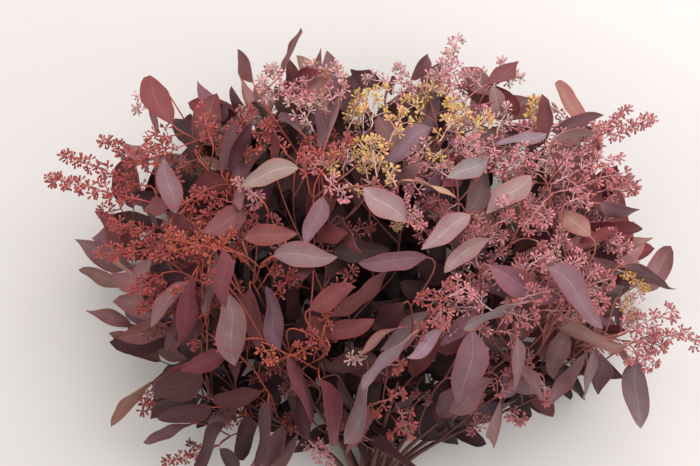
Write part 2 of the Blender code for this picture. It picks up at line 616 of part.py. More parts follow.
def fill_inside(stems, crowd, rng):
    """Leaves between and under the others, which show from the sides, by a seeded rule."""
    made = 0
    for _ in range(INNER_TRIES):
        if made == INNER_LEAVES:
            return
        angle, reach = rng.uniform(0, math.tau), math.sqrt(rng.random()) * 0.88
        place = (CROWN_MIDDLE[0] + CROWN_HALF[0] * reach * math.cos(angle),
                 CROWN_MIDDLE[1] + CROWN_HALF[1] * reach * math.sin(angle))
        top = crown_height(place) - 60
        low, high = (60, top) if made % 2 else (14, min(110, top))
        foot = on_sheet(*place, rng.uniform(low, high))
        stray = Vector((rng.gauss(0, 1), rng.gauss(0, 1), rng.gauss(0, 0.6)))
        tip = foot + ((foot - FAN_FROM).normalized() + stray * 0.45).normalized() * rng.uniform(54, 68)
        tip_place = (SHEET_ACROSS / 2 + tip.x, SHEET_DOWN / 2 - tip.y)
        if tip.z < 8 or tip.z > crown_height(tip_place) - 40 or off_middle(tip_place) > 0.95:
            continue
        state = rng.getrandbits(32)

        def make():
            return shape_leaf(random.Random(state), foot, tip, 0, INNER_STATIONS) | {"bends": 1}
        made += settle(stems, crowd, foot, make, 2)


def grow_bunch():
    """Every spray's stem, leaves and clusters, each clear of all the others."""
    rng = random.Random(SEED)
    stems = stem_routes()
    crowd = Crowd()
    for number, stem in enumerate(stems):
        crowd.add(number, spray_solid(stem))
    wanted = []
    for kind, rows in (("leaf", LEAVES), ("cluster", CLUSTERS)):
        for across, down, tip_across, tip_down, size, below in rows:
            foot = on_sheet(across, down, crown_height((across, down)) - below)
            wanted.append(((foot - FAN_FROM).length, kind, (across, down), (tip_across, tip_down), size, below))
    for _, *piece in sorted(wanted):
        place_by_hand(stems, crowd, rng.getrandbits(32), *piece)
    for across, down, tip_across, tip_down in RESTING:
        place_resting(stems, crowd, rng.getrandbits(32), (across, down), (tip_across, tip_down))
    fill_inside(stems, crowd, rng)
    return stems


def spray_solid(stem):
    """A stem and all that grew on it, drawn out of one surface."""
    surface = Surface()
    grow_stem(surface, stem)
    for item in stem["items"]:
        grow_item(surface, item, surface.free_face(item["node"], along(item["twig"], 0)[1]))
    return surface.solid()


def band_solid():
    """A flat rubber band drawn tight round the stems: the outline of the bundle, one band thick."""
    centres = [tied_place(row, place) for row, ways in enumerate(STEM_ROWS) for place in range(len(ways))]
    loops = []
    for out, end in ((0, -1), (BAND_THICKNESS, -1), (BAND_THICKNESS, 1), (0, 1)):
        loop = []
        for i in range(BAND_SIDES):
            angle = math.tau * (i + 0.5) / BAND_SIDES
            way = Vector((math.cos(angle), 0, math.sin(angle)))
            reach = (STEM_RADIUS + BAND_CLEARANCE + out) / math.cos(math.pi / BAND_SIDES)
            loop.append(max(centres, key=way.dot) + way * reach + Vector((0, end * BAND_WIDTH / 2, 0)))
        loops.append(loop)
    faces = []
    for k in range(len(loops)):
        near, far = k * BAND_SIDES, (k + 1) % len(loops) * BAND_SIDES
        faces += [(near + i, near + (i + 1) % BAND_SIDES, far + (i + 1) % BAND_SIDES, far + i)
                  for i in range(BAND_SIDES)]
    return [p for loop in loops for p in loop], faces


def mesh_object(name, solid, material, collection):
    """An object in metres from a solid in millimetres."""
    points, faces = solid
    mesh = bpy.data.meshes.new(name)
    mesh.from_pydata([p * METRES for p in points], [], faces)
    mesh.materials.append(material)
    build = bmesh.new()
    build.from_mesh(mesh)
    bmesh.ops.triangulate(build, faces=build.faces)
    bmesh.ops.recalc_face_normals(build, faces=build.faces)
    build.to_mesh(mesh)
    build.free()
    thing = bpy.data.objects.new(name, mesh)
    collection.objects.link(thing)
    return thing


def plain_material(name, colour, roughness):
    material = bpy.data.materials.new(name)
    material.use_nodes = True
    shader = material.node_tree.nodes["Principled BSDF"]
    shader.inputs["Base Color"].default_value = (*colour, 1)
    shader.inputs["Roughness"].default_value = roughness
    shader.inputs["Metallic"].default_value = 0
    return material


def main():
    for thing in list(bpy.data.objects):
        bpy.data.objects.remove(thing)
    bunch = bpy.data.collections.new("seeded eucalyptus bunch")
    bpy.context.scene.collection.children.link(bunch)
    leafy = plain_material("dyed eucalyptus", (0.2, 0.085, 0.095), 0.7)
    rubber = plain_material("rubber band", (0.45, 0.3, 0.16), 0.6)
    pieces = [mesh_object(f"spray_{number:02d}", spray_solid(stem), leafy, bunch)
              for number, stem in enumerate(grow_bunch(), 1)]
    pieces.append(mesh_object("band", band_solid(), rubber, bunch))
    low, high = box_of([vertex.co for piece in pieces for vertex in piece.data.vertices])
    middle = Vector(((low[0] + high[0]) / 2, (low[1] + high[1]) / 2, low[2]))
    for piece in pieces:
        piece.data.transform(Matrix.Translation(-middle))


main()
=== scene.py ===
"""The looks of a tied bunch of dyed seeded eucalyptus that lies on its back.

The frame holds one plain solid for each leafy stem and one for the rubber band. The same bunch is grown
again here by the same rules, in millimetres, and each leaf, twig and bud is modelled fine in its place.
"""

import math
import random

import bpy
import numpy as np
from mathutils import Matrix, Vector
from mathutils.bvhtree import BVHTree


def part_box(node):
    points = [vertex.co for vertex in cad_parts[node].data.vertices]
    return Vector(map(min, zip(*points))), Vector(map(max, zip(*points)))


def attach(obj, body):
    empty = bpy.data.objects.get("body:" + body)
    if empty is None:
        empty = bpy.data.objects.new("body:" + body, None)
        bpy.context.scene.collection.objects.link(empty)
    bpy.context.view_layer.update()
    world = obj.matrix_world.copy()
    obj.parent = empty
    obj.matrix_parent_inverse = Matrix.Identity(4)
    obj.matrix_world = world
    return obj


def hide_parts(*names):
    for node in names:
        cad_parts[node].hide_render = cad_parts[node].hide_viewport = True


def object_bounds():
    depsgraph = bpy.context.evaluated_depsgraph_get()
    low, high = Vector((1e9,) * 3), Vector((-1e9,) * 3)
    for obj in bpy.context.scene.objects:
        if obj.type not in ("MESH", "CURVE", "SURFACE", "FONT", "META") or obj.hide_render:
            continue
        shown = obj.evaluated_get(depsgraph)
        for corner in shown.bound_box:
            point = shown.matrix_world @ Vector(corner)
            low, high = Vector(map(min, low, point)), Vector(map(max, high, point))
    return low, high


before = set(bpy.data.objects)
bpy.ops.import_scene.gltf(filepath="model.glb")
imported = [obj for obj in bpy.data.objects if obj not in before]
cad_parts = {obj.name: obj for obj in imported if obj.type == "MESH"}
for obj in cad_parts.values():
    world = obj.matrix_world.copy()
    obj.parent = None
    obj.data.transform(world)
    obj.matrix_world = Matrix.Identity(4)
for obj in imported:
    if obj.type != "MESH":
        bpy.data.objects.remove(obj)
cad_low, cad_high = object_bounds()


# The bunch lies on the ground and is laid out on a flat sheet that is looked at from straight above. Its
# outermost leaves end at a dome over the sheet, the crown, which stands lower towards the cut ends.
SHEET_ACROSS = 700
SHEET_DOWN = 466
SHEET_HEIGHT = 150
EYE_HEIGHT = 1650
CROWN_MIDDLE = (370, 240)
CROWN_HALF = (330, 215)
CROWN_RISE = 170
RIM_HEIGHT = 150
LOW_RIM_HEIGHT = 90
LOW_RIM_FROM = 300
LOW_RIM_TO = 480


def ramp(value, start, end):
    """How far a value has come on the way from start to end, from 0 to 1."""
    return min(max((value - start) / (end - start), 0), 1)


def on_sheet(across, down, height):
    """The point that shows at that place of the sheet, at that height over the ground."""
    grow = (EYE_HEIGHT - height) / (EYE_HEIGHT - SHEET_HEIGHT)
    return Vector(((across - SHEET_ACROSS / 2) * grow, (SHEET_DOWN / 2 - down) * grow, height))


def sheet_place(point):
    """The place of the sheet where a point shows."""
    grow = (EYE_HEIGHT - point.z) / (EYE_HEIGHT - SHEET_HEIGHT)
    return SHEET_ACROSS / 2 + point.x / grow, SHEET_DOWN / 2 - point.y / grow


def off_middle(place):
    """How far a place of the sheet lies from the crown's middle, where 1 is its rim."""
    return math.hypot(*((p - m) / h for p, m, h in zip(place, CROWN_MIDDLE, CROWN_HALF)))


def crown_height(place):
    """How high the crown stands over that place of the sheet."""
    lower = ramp(place[1], LOW_RIM_FROM, LOW_RIM_TO)
    rim = RIM_HEIGHT + (LOW_RIM_HEIGHT - RIM_HEIGHT) * lower
    return rim + CROWN_RISE * math.sqrt(max(0, 1 - off_middle(place) ** 2))


# Sixteen leafy stems of one eucalyptus were cut, laid in three rows and tied. They run bare and straight
# through the band, then spread like a fan and bear twigs. Each node on them may bear a few.
SEED = 11
STEM_RADIUS = 3.5
STEM_TIP_RADIUS = 1.3
STEM_PITCH = 7.3  # from stem to stem in the band
STEM_REACH = 225
STEM_STEPS = 9
BAND_PLACE = (22, -312)
BAND_STRETCH = 16  # how far the stems run straight on each side of the band's middle
BAND_THICKNESS = 1.8
BAND_CLEARANCE = 0.35
CUT_ENDS = -497
CUT_UNEVEN = 16
CUT_SPREAD = 1.35  # how much wider the cut ends lie than the band is
FAN_FROM = Vector((22, -262, 32))
# Which way each stem points, as its heading off +Y and its rise off the ground, in degrees, row by row
# from the lowest stems to the highest and from left to right.
STEM_ROWS = (
    ((-62, 12), (-34, 8), (0, 8), (32, 8), (56, 14)),
    ((-50, 40), (-28, 32), (-5, 28), (16, 28), (35, 31), (57, 31)),
    ((-27, 50), (-4, 42), (11, 57), (20, 42), (40, 46)),
)


def along(curve, t):
    """The point at t on a cubic curve and the way it runs there."""
    a, b, c, d = curve
    s = 1 - t
    point = a * s**3 + b * 3 * s * s * t + c * 3 * s * t * t + d * t**3
    way = (b - a) * s * s + (c - b) * 2 * s * t + (d - c) * t * t
    return point, way.normalized()


def new_node(centre, way, most):
    """A place on a stalk that up to so many twigs may grow from."""
    return {"centre": centre, "way": way, "most": most, "out": [], "faces": []}


def tied_place(row, place):
    """Where a stem passes through the band: the stems lie in rows, each in the hollows of the last."""
    off = (place - (len(STEM_ROWS[row]) - 1) / 2) * STEM_PITCH
    height = BAND_THICKNESS + BAND_CLEARANCE + STEM_RADIUS + row * STEM_PITCH * math.sqrt(3) / 2
    return Vector((BAND_PLACE[0] + off, BAND_PLACE[1], height))


def stem_routes():
    """Where each leafy stem runs, from its cut end to its tip, with the nodes that twigs leave from."""
    rng = random.Random(SEED)
    forward = Vector((0, 1, 0))
    stems = []
    for row, ways in enumerate(STEM_ROWS):
        for place, (heading, rise) in enumerate(ways):
            tied = tied_place(row, place)
            off = tied.x - BAND_PLACE[0]
            h, r = math.radians(heading), math.radians(rise)
            way = Vector((math.sin(h) * math.cos(r), math.cos(h) * math.cos(r), math.sin(r)))
            cut_place = CUT_ENDS + rng.uniform(0, CUT_UNEVEN)
            cut = Vector((BAND_PLACE[0] + off * CUT_SPREAD, cut_place, tied.z + row))
            end = FAN_FROM + Vector((off, 0, tied.z - 12)) * 0.9 + way * STEM_REACH
            leave = tied + forward * BAND_STRETCH
            curve = (leave, leave + forward * 62 + Vector((0, 0, 6 * (row - 0.6))), end - way * 110, end)
            enter = tied - forward * BAND_STRETCH
            stops = [(cut, forward, STEM_RADIUS, None), (enter, forward, STEM_RADIUS, None)]
            nodes = []
            for step in range(STEM_STEPS + 1):
                share = step / STEM_STEPS
                centre, turn = along(curve, share)
                radius = STEM_RADIUS + (STEM_TIP_RADIUS - STEM_RADIUS) * share**0.8
                node = None
                if 2 < step < STEM_STEPS:
                    node = new_node(centre, turn, 3)
                    nodes.append(node)
                stops.append((centre, turn, radius, node))
            stems.append({"stops": stops, "way": way, "nodes": nodes, "items": []})
    return stems


# Each stem forks into twigs, and each twig ends in a leaf or in a cluster of seed buds. The solids drew
# all of it out of the stem's own faces, and the same plain forms grow here to find what lies clear.
STEM_SIDES = 5
TWIG_RADIUS = 1.0
PETIOLE_RADIUS = 0.75
SHORT_TWIG = 26
LONG_TWIG = 62
NODE_LENGTH = 2.6
BLADE_THICKNESS = 1.5
AXIS_RADIUS = 0.75
BUD_RADIUS = 1.35
BUD_LENGTH = 6


def square_to(side, way):
    """The part of side that is square to way, one long."""
    flat = side - way * side.dot(way)
    if flat.length < 1e-6:
        flat = way.orthogonal()
    return flat.normalized()


def round_ring(centre, side, way, radius, sides):
    """Points round a stalk."""
    up = way.cross(side)
    turns = [math.tau * i / sides for i in range(sides)]
    return [centre + (side * math.cos(a) + up * math.sin(a)) * radius for a in turns]


class Surface:
    """One closed surface. What grows on it is drawn out of its faces, so that all of it is one solid."""

    def __init__(self):
        self.points = []
        self.faces = []

    def bridge(self, near, far):
        """Faces from one ring of point numbers to the next, which may be one point or wider by one."""
        if len(far) == 1:
            self.faces += [(near[i - 1], near[i], far[0]) for i in range(len(near))]
            return
        turned = [near[k:] + near[:k] for k in range(len(near))]
        spokes = {}
        for ring in (near, far):
            spokes |= {i: (self.points[i] - self.middle(ring)).normalized() for i in ring}
        near = max(turned, key=lambda ring: sum(spokes[a].dot(spokes[b]) for a, b in zip(ring, far)))
        n, m = len(near), len(far)
        for i in range(n if n == m else n - 1):
            j = (i + 1) % n
            a, b, c, d = (self.points[k] for k in (near[i], near[j], far[i], far[j]))
            # The underside of a blade is split as its upper side is, and a stalk along its short diagonals.
            if (n == 4 and i > 1) or (n < 4 and (a - d).length < (b - c).length):
                self.faces += [(near[i], near[j], far[j]), (near[i], far[j], far[i])]
            else:
                self.faces += [(near[i], near[j], far[i]), (near[j], far[j], far[i])]
        if m > n:
            self.faces += [(near[-1], far[-1], far[-2]), (near[-1], near[0], far[-1])]
            self.faces.append((near[0], far[0], far[-1]))

    def loft(self, rings, base=None):
        """Lofts through rings of points, out of the face base where one is given, and gives back the
        number of the first face of each stretch and of the end."""
        numbers = []
        for ring in rings:
            numbers.append(tuple(range(len(self.points), len(self.points) + len(ring))))
            self.points += ring
        if base is None:
            self.faces.append(numbers[0][::-1])
        else:
            self.bridge(self.faces[base], numbers[0])
            self.faces[base] = None
        stretches = []
        for near, far in zip(numbers, numbers[1:]):
            stretches.append(len(self.faces))
            self.bridge(near, far)
        stretches.append(len(self.faces))
        if len(numbers[-1]) > 1:
            self.faces.append(numbers[-1])
        return stretches

    def middle(self, ring):
        """The middle of some points, given by their numbers."""
        return sum((self.points[i] for i in ring), Vector()) / len(ring)

    def normal(self, face):
        """Which way a face looks."""
        a, b, c = (self.points[i] for i in self.faces[face][:3])
        return (b - a).cross(c - a).normalized()

    def spoke(self, face, way):
        """Which way the first corner of a face lies from its middle, seen along way."""
        corners = self.faces[face]
        return square_to(self.points[corners[0]] - self.middle(corners), way)

    def free_face(self, node, way):
        """The node's free face that looks most the way a twig leaves. The node loses it."""
        face = max(node["faces"], key=lambda f: self.normal(f).dot(way))
        node["faces"].remove(face)
        return face

    def bud(self, base, tip):
        """Draws a face out into a stalked bud that ends at tip."""
        root = self.middle(self.faces[base])
        way = (tip - root).normalized()
        side = self.spoke(base, way)
        self.loft([round_ring(tip - way * BUD_LENGTH * 0.6, side, way, BUD_RADIUS, 3), [tip]], base)

    def solid(self):
        """The points and the faces that are left."""
        return self.points, [face for face in self.faces if face]


def stalk_rings(stops, side, sides, grow=0):
    """The rings of a stalk through its stops, with a short pair of rings at each node that bears a
    twig, and which ring starts each such pair."""
    rings = []
    pairs = []
    for centre, way, radius, node in stops:
        side = square_to(side, way)
        if node and node["out"]:
            out = square_to(node["out"][0], way)
            turns = [Matrix.Rotation(math.pi / sides * (2 * k + 1), 3, way) @ out for k in range(sides)]
            side = max(turns, key=side.dot)
            pairs.append((len(rings), node))
            rings.append(round_ring(centre - way * NODE_LENGTH / 2, side, way, radius + grow, sides))
            rings.append(round_ring(centre + way * NODE_LENGTH / 2, side, way, radius + grow, sides))
        else:
            rings.append(round_ring(centre, side, way, radius + grow, sides))
    return rings, pairs


def claim_faces(pairs, stretches, sides):
    """Notes which faces each node's twigs may be drawn out of."""
    for ring, node in pairs:
        node["faces"] = [stretches[ring] + 2 * i for i in range(sides)]


def grow_stem(surface, stem):
    """The stem as a tube that thins towards its tip."""
    rings, pairs = stalk_rings(stem["stops"], Vector((1, 0, 0)), STEM_SIDES)
    claim_faces(pairs, surface.loft(rings), STEM_SIDES)


def twig_curve(root, way, foot, leaving):
    """The route of a twig from its parent to the foot of what it carries."""
    reach = (foot - root).length * 0.36
    ahead = (foot - root).normalized()
    out = (way * 0.8 + ahead * 0.3 + square_to(ahead, way)).normalized()
    return (root, root + out * reach, foot - leaving * reach, foot)


def twig_stops(curve, most):
    """The bends of a twig, each with a node that other twigs may leave from."""
    reach = (curve[3] - curve[0]).length
    shares = () if reach < SHORT_TWIG else (0.55,) if reach < LONG_TWIG or most == 1 else (0.35, 0.72)
    stops = []
    for share in shares:
        centre, way = along(curve, share)
        stops.append((centre, way, TWIG_RADIUS, new_node(centre, way, 2)))
    return stops


def blade_rings(leaf, grow):
    """The rings of a blade that is creased along its rib, from its petiole to its tip."""
    rings = []
    for t in leaf["stations"]:
        centre, way = along(leaf["blade"], t)
        turn = Matrix.Rotation(leaf["roll"] + leaf["twist"] * (t - 0.4), 3, way)
        normal = turn @ square_to(leaf["facing"], way)
        side = normal.cross(way)
        half = leaf["width"] / 2 * (1 if t < 0.5 else 0.74) + grow
        thick = normal * (BLADE_THICKNESS / 2 + grow)
        rise = normal * half * leaf["fold"]
        edges = (centre + side * half + rise, centre - side * half + rise)
        rings.append([edges[0], centre + thick, edges[1], centre - thick])
    foot, way = along(leaf["blade"], 0)
    side = square_to(rings[0][0] - rings[0][2], way)
    petiole = round_ring(foot, side, way, PETIOLE_RADIUS + grow, 3)
    return [petiole, *rings, [leaf["blade"][3]]]


def axis_rings(cluster, grow):
    """The rings of a cluster's axis: a short pair where its side buds leave, and its end."""
    rings = []
    for t in cluster["nodes"]:
        centre, way = along(cluster["axis"], t)
        rings.append(round_ring(centre, square_to(cluster["side"], way), way, AXIS_RADIUS + grow, 3))
    return rings


def grow_item(surface, item, base=None, grow=0):
    """A leaf or a cluster on its own twig, drawn out of the face base or, without one, by itself."""
    root, foot = item["twig"][0], item["twig"][3]
    stops = item["stops"]
    ahead = (stops[0][0] if stops else foot) - root
    if base is None:
        stops = [(root, ahead.normalized(), TWIG_RADIUS, None), *stops]
        side = ahead.orthogonal()
    else:
        side = surface.spoke(base, ahead.normalized())
    rings, pairs = stalk_rings(stops, side, 3, grow)
    first = len(rings)
    rings += blade_rings(item, grow) if item["kind"] == "leaf" else axis_rings(item, grow)
    stretches = surface.loft(rings, base)
    claim_faces(pairs, stretches, 3)
    if item["kind"] == "cluster":
        for place, tip in enumerate(item["tips"][:-1]):
            surface.bud(stretches[first] + 2 * place, tip)
        surface.bud(stretches[-1], item["tips"][-1])


def lone_solid(item, grow):
    """A leaf or a cluster by itself, as much thicker as asked."""
    surface = Surface()
    grow_item(surface, item, None, grow)
    return surface.solid()


def spray_solid(stem):
    """A stem and all that grew on it, drawn out of one surface."""
    surface = Surface()
    grow_stem(surface, stem)
    for item in stem["items"]:
        grow_item(surface, item, surface.free_face(item["node"], along(item["twig"], 0)[1]))
    return surface.solid()


def box_of(points):
    """The lowest and the highest corner round some points."""
    return [min(p[i] for p in points) for i in range(3)], [max(p[i] for p in points) for i in range(3)]


class Crowd:
    """What stands already, to keep the sprays clear of each other."""

    def __init__(self):
        self.pieces = []

    def add(self, spray, solid):
        """Notes a piece and the spray it belongs to."""
        self.pieces.append((spray, *box_of(solid[0]), BVHTree.FromPolygons(*solid)))

    def hit(self, spray, solid):
        """Whether a piece would cross another spray."""
        low, high = box_of(solid[0])
        tree = BVHTree.FromPolygons(*solid)
        for other, other_low, other_high, other_tree in self.pieces:
            apart = any(low[i] > other_high[i] or high[i] < other_low[i] for i in range(3))
            if other != spray and not apart and tree.overlap(other_tree):
                return True
        return False


def crosses_itself(solid):
    """Whether two faces of a solid cross that have no corner in common."""
    faces = solid[1]
    tree = BVHTree.FromPolygons(*solid)
    return any(a < b and not set(faces[a]) & set(faces[b]) for a, b in tree.overlap(tree))


# A leaf is lance-shaped, bows a little and is turned on its stalk, so that many show narrow. A cluster
# of buds stands on a thin axis that forks once or twice.
BLADE_STATIONS = (0.36, 0.7)
INNER_STATIONS = (0.42,)
LEAF_LENGTH = 52
WIDTH_SHARE = 0.36
INNER_WIDTH_SHARE = 0.42
WIDEST_LEAF = 33
LEAF_BOW = 0.13  # how far a leaf bows off straight, as a share of its length
WIDE_CLUSTER = 24
LEAST_SPREAD = 14


def any_way(rng):
    """A vector that is as likely to point one way as another."""
    return Vector([rng.gauss(0, 1) for _ in range(3)])


def shape_leaf(rng, foot, tip, shown, stations):
    """A leaf's shape from where its foot and tip are and how wide it shows."""
    length = (tip - foot).length
    width = min(max(shown, (WIDTH_SHARE if shown else INNER_WIDTH_SHARE) * length), WIDEST_LEAF)
    lean = math.acos(min(1, shown / width)) if shown else rng.uniform(0, 1.1)
    way = (tip - foot).normalized()
    facing = square_to(Vector((0, 0, 1)) + (foot - FAN_FROM).normalized() * 0.15, way)
    across = facing.cross(way)
    bows = [rng.uniform(-LEAF_BOW, LEAF_BOW) * length for _ in range(4)]
    first = foot.lerp(tip, 0.33) + across * bows[0] + facing * abs(bows[1])
    second = foot.lerp(tip, 0.67) + across * bows[2] + facing * bows[3]
    return {
        "kind": "leaf", "blade": (foot, first, second, tip), "width": width, "facing": facing,
        "stations": stations, "roll": lean * rng.choice((-1, 1)), "twist": rng.uniform(-0.6, 0.6),
        "fold": rng.uniform(0.05, 0.3),
    }


def shape_cluster(rng, foot, tip, spread):
    """A bud cluster's shape from where its axis starts and ends and how wide it spreads."""
    length = (tip - foot).length
    bend = (tip - foot).orthogonal() * rng.uniform(-0.1, 0.1)
    axis = (foot, foot.lerp(tip, 0.33) + bend, foot.lerp(tip, 0.67) - bend, tip)
    node = 0.42 if length > 26 else 0.25
    nodes = (node, node + NODE_LENGTH / length, max(1 - 9 / length, node + 2 * NODE_LENGTH / length))
    centre, way = along(axis, node)
    side = square_to(any_way(rng), way)
    up = way.cross(side)
    tips = []
    for place in range(3 if spread > WIDE_CLUSTER else 2):
        angle = math.tau * (place + 0.5) / 3
        out = side * math.cos(angle) + up * math.sin(angle)
        tips.append(centre + (out * 0.5 + way * rng.uniform(0.15, 0.5)) * max(spread, LEAST_SPREAD))
    tips.append(tip)
    return {"kind": "cluster", "axis": axis, "nodes": nodes, "side": side, "tips": tips, "spread": spread}


# Where the leaves lie, by shade and in millimetres on the sheet: foot across and down, tip across and
# down, the width that shows, and how far below the crown it lies.
LEAVES = {
    "rose": (
        (172, 124, 150, 75, 25, 0), (167, 208, 143, 211, 17, 0), (253, 82, 238, 51, 13, 0),
        (318, 70, 294, 86, 14, 40), (275, 163, 273, 128, 9, 30), (411, 79, 428, 56, 9, 40),
        (443, 186, 463, 167, 18, 20), (340, 217, 361, 252, 8, 30), (245, 238, 298, 234, 20, 0),
        (246, 212, 202, 233, 25, 5), (223, 250, 226, 309, 17, -5), (250, 289, 259, 353, 20, 15),
        (310, 309, 354, 286, 19, 0), (330, 316, 390, 266, 14, 5), (326, 338, 311, 316, 17, 5),
        (368, 408, 347, 452, 14, 25), (320, 380, 337, 445, 17, 0), (288, 358, 312, 425, 9, 5),
        (184, 365, 149, 392, 19, 30), (193, 275, 175, 350, 11, 0), (613, 343, 632, 369, 12, 30),
        (580, 250, 617, 226, 12, 10), (572, 168, 605, 216, 26, 30), (547, 139, 542, 94, 11, 0),
        (488, 84, 519, 61, 20, 10), (496, 86, 517, 116, 18, 30), (491, 109, 467, 86, 16, 40),
        (496, 317, 499, 343, 11, 20),
    ),
    "tan": (
        (149, 100, 157, 135, 7, 60), (147, 170, 122, 142, 13, 40), (398, 328, 358, 357, 7, 20),
        (482, 360, 471, 384, 14, 20), (151, 382, 111, 427, 8, 45), (152, 256, 130, 287, 18, 40),
        (137, 275, 111, 262, 9, 50), (590, 236, 556, 211, 20, 15), (601, 240, 560, 244, 15, 25),
        (599, 139, 571, 134, 7, 25), (477, 212, 499, 237, 18, 30), (222, 171, 195, 160, 10, 45),
    ),
    "plum": (
        (195, 150, 172, 122, 18, 30), (222, 170, 233, 122, 20, 10), (228, 172, 251, 123, 10, 20),
        (219, 120, 227, 103, 3, 40), (268, 118, 251, 102, 6, 50), (303, 141, 313, 106, 15, 50),
        (308, 262, 301, 281, 15, 20), (404, 303, 372, 329, 24, 25), (296, 395, 308, 440, 15, 30),
        (268, 402, 254, 463, 20, 34), (246, 415, 243, 461, 17, 25), (225, 424, 192, 472, 20, 20),
        (262, 391, 212, 402, 19, 20), (212, 407, 157, 419, 21, 5), (202, 373, 154, 399, 31, 15),
        (202, 396, 150, 419, 18, 25), (198, 264, 160, 288, 17, 35), (199, 318, 180, 345, 14, 35),
        (379, 362, 324, 369, 21, 30), (322, 357, 346, 381, 16, 40), (340, 378, 357, 413, 9, 45),
        (368, 441, 424, 471, 11, 30), (356, 442, 371, 459, 10, 35), (607, 298, 618, 333, 19, 25),
        (547, 141, 524, 151, 9, 25), (465, 211, 489, 190, 15, 50), (451, 390, 408, 398, 14, 45),
        (413, 394, 394, 409, 10, 50), (341, 300, 300, 270, 18, 75), (300, 318, 286, 280, 15, 70),
        (455, 262, 420, 282, 18, 80), (430, 300, 400, 282, 20, 90), (390, 262, 352, 250, 20, 90),
        (520, 395, 482, 380, 18, 70),
    ),
    "mauve": (
        (176, 213, 164, 158, 21, -10), (300, 132, 281, 112, 14, 50), (321, 148, 317, 104, 10, 20),
        (326, 130, 338, 100, 14, 50), (385, 86, 350, 69, 11, 50), (332, 85, 357, 98, 13, 30),
        (428, 136, 434, 92, 13, 50), (430, 128, 382, 163, 22, 25), (396, 183, 420, 162, 15, 30),
        (427, 257, 358, 263, 16, 10), (323, 197, 305, 247, 18, 5), (238, 188, 240, 210, 11, 20),
        (274, 256, 338, 257, 23, -5), (216, 251, 205, 318, 15, 15), (226, 292, 235, 366, 28, 10),
        (280, 349, 265, 286, 18, 20), (478, 312, 440, 346, 16, 30), (472, 330, 457, 404, 31, 0),
        (381, 382, 364, 412, 17, 20), (286, 385, 291, 413, 13, 20), (283, 425, 242, 480, 18, 20),
        (220, 449, 236, 476, 8, 40), (192, 424, 143, 443, 12, 30), (187, 283, 151, 327, 17, 15),
        (172, 262, 148, 273, 12, 45), (206, 375, 207, 397, 8, 35), (454, 387, 440, 417, 13, 15),
        (491, 379, 449, 412, 24, 30), (500, 402, 494, 449, 19, 20), (517, 338, 513, 393, 15, 10),
        (515, 362, 542, 401, 15, 20), (562, 329, 554, 379, 19, 25), (585, 354, 546, 406, 19, 15),
        (593, 349, 583, 400, 17, 10), (599, 352, 598, 395, 12, 25), (560, 328, 626, 345, 18, 10),
        (490, 266, 560, 298, 25, 0), (548, 268, 603, 329, 27, 10), (600, 203, 638, 210, 10, 20),
        (626, 264, 677, 289, 8, 30), (594, 258, 622, 273, 15, 35), (604, 288, 623, 295, 11, 40),
        (552, 131, 604, 115, 16, 20), (493, 96, 461, 68, 22, 20), (546, 256, 525, 252, 14, 20),
        (513, 363, 499, 351, 10, 35), (232, 177, 262, 151, 16, 45),
    ),
    "wine": (
        (170, 210, 197, 229, 14, 20), (228, 180, 188, 192, 22, 30), (196, 141, 217, 93, 28, 20),
        (284, 70, 301, 28, 10, 0), (388, 91, 399, 80, 9, 60), (400, 113, 427, 93, 14, 60),
        (316, 241, 348, 233, 18, 35), (326, 336, 375, 319, 18, 15), (440, 338, 412, 376, 18, 25),
        (229, 354, 180, 371, 19, 5), (192, 325, 166, 351, 21, 45), (241, 362, 234, 395, 15, 20),
        (546, 329, 542, 362, 18, 35), (584, 336, 583, 361, 11, 35), (625, 330, 600, 331, 9, 40),
        (585, 225, 643, 229, 14, 35), (262, 340, 240, 300, 18, 80),
    ),
    "pale": (
        (328, 138, 341, 98, 6, 10), (452, 116, 431, 92, 9, 40), (444, 165, 418, 198, 8, 20),
        (487, 160, 446, 178, 18, 0), (531, 176, 486, 214, 22, 0), (298, 168, 241, 187, 20, 0),
        (364, 188, 406, 221, 25, -5), (470, 215, 421, 250, 21, -5), (489, 239, 444, 273, 16, 0),
        (428, 312, 380, 350, 21, 10), (412, 334, 362, 390, 12, 0), (442, 330, 407, 358, 14, 10),
        (530, 301, 463, 330, 7, 0), (370, 378, 344, 444, 15, 0), (298, 433, 266, 470, 14, 5),
        (637, 359, 641, 429, 21, 0), (555, 138, 598, 132, 8, 10), (546, 134, 491, 145, 13, 0),
        (492, 86, 504, 118, 16, 10),
    ),
    "straw": (
        (402, 180, 456, 198, 3, 10),
    ),
}
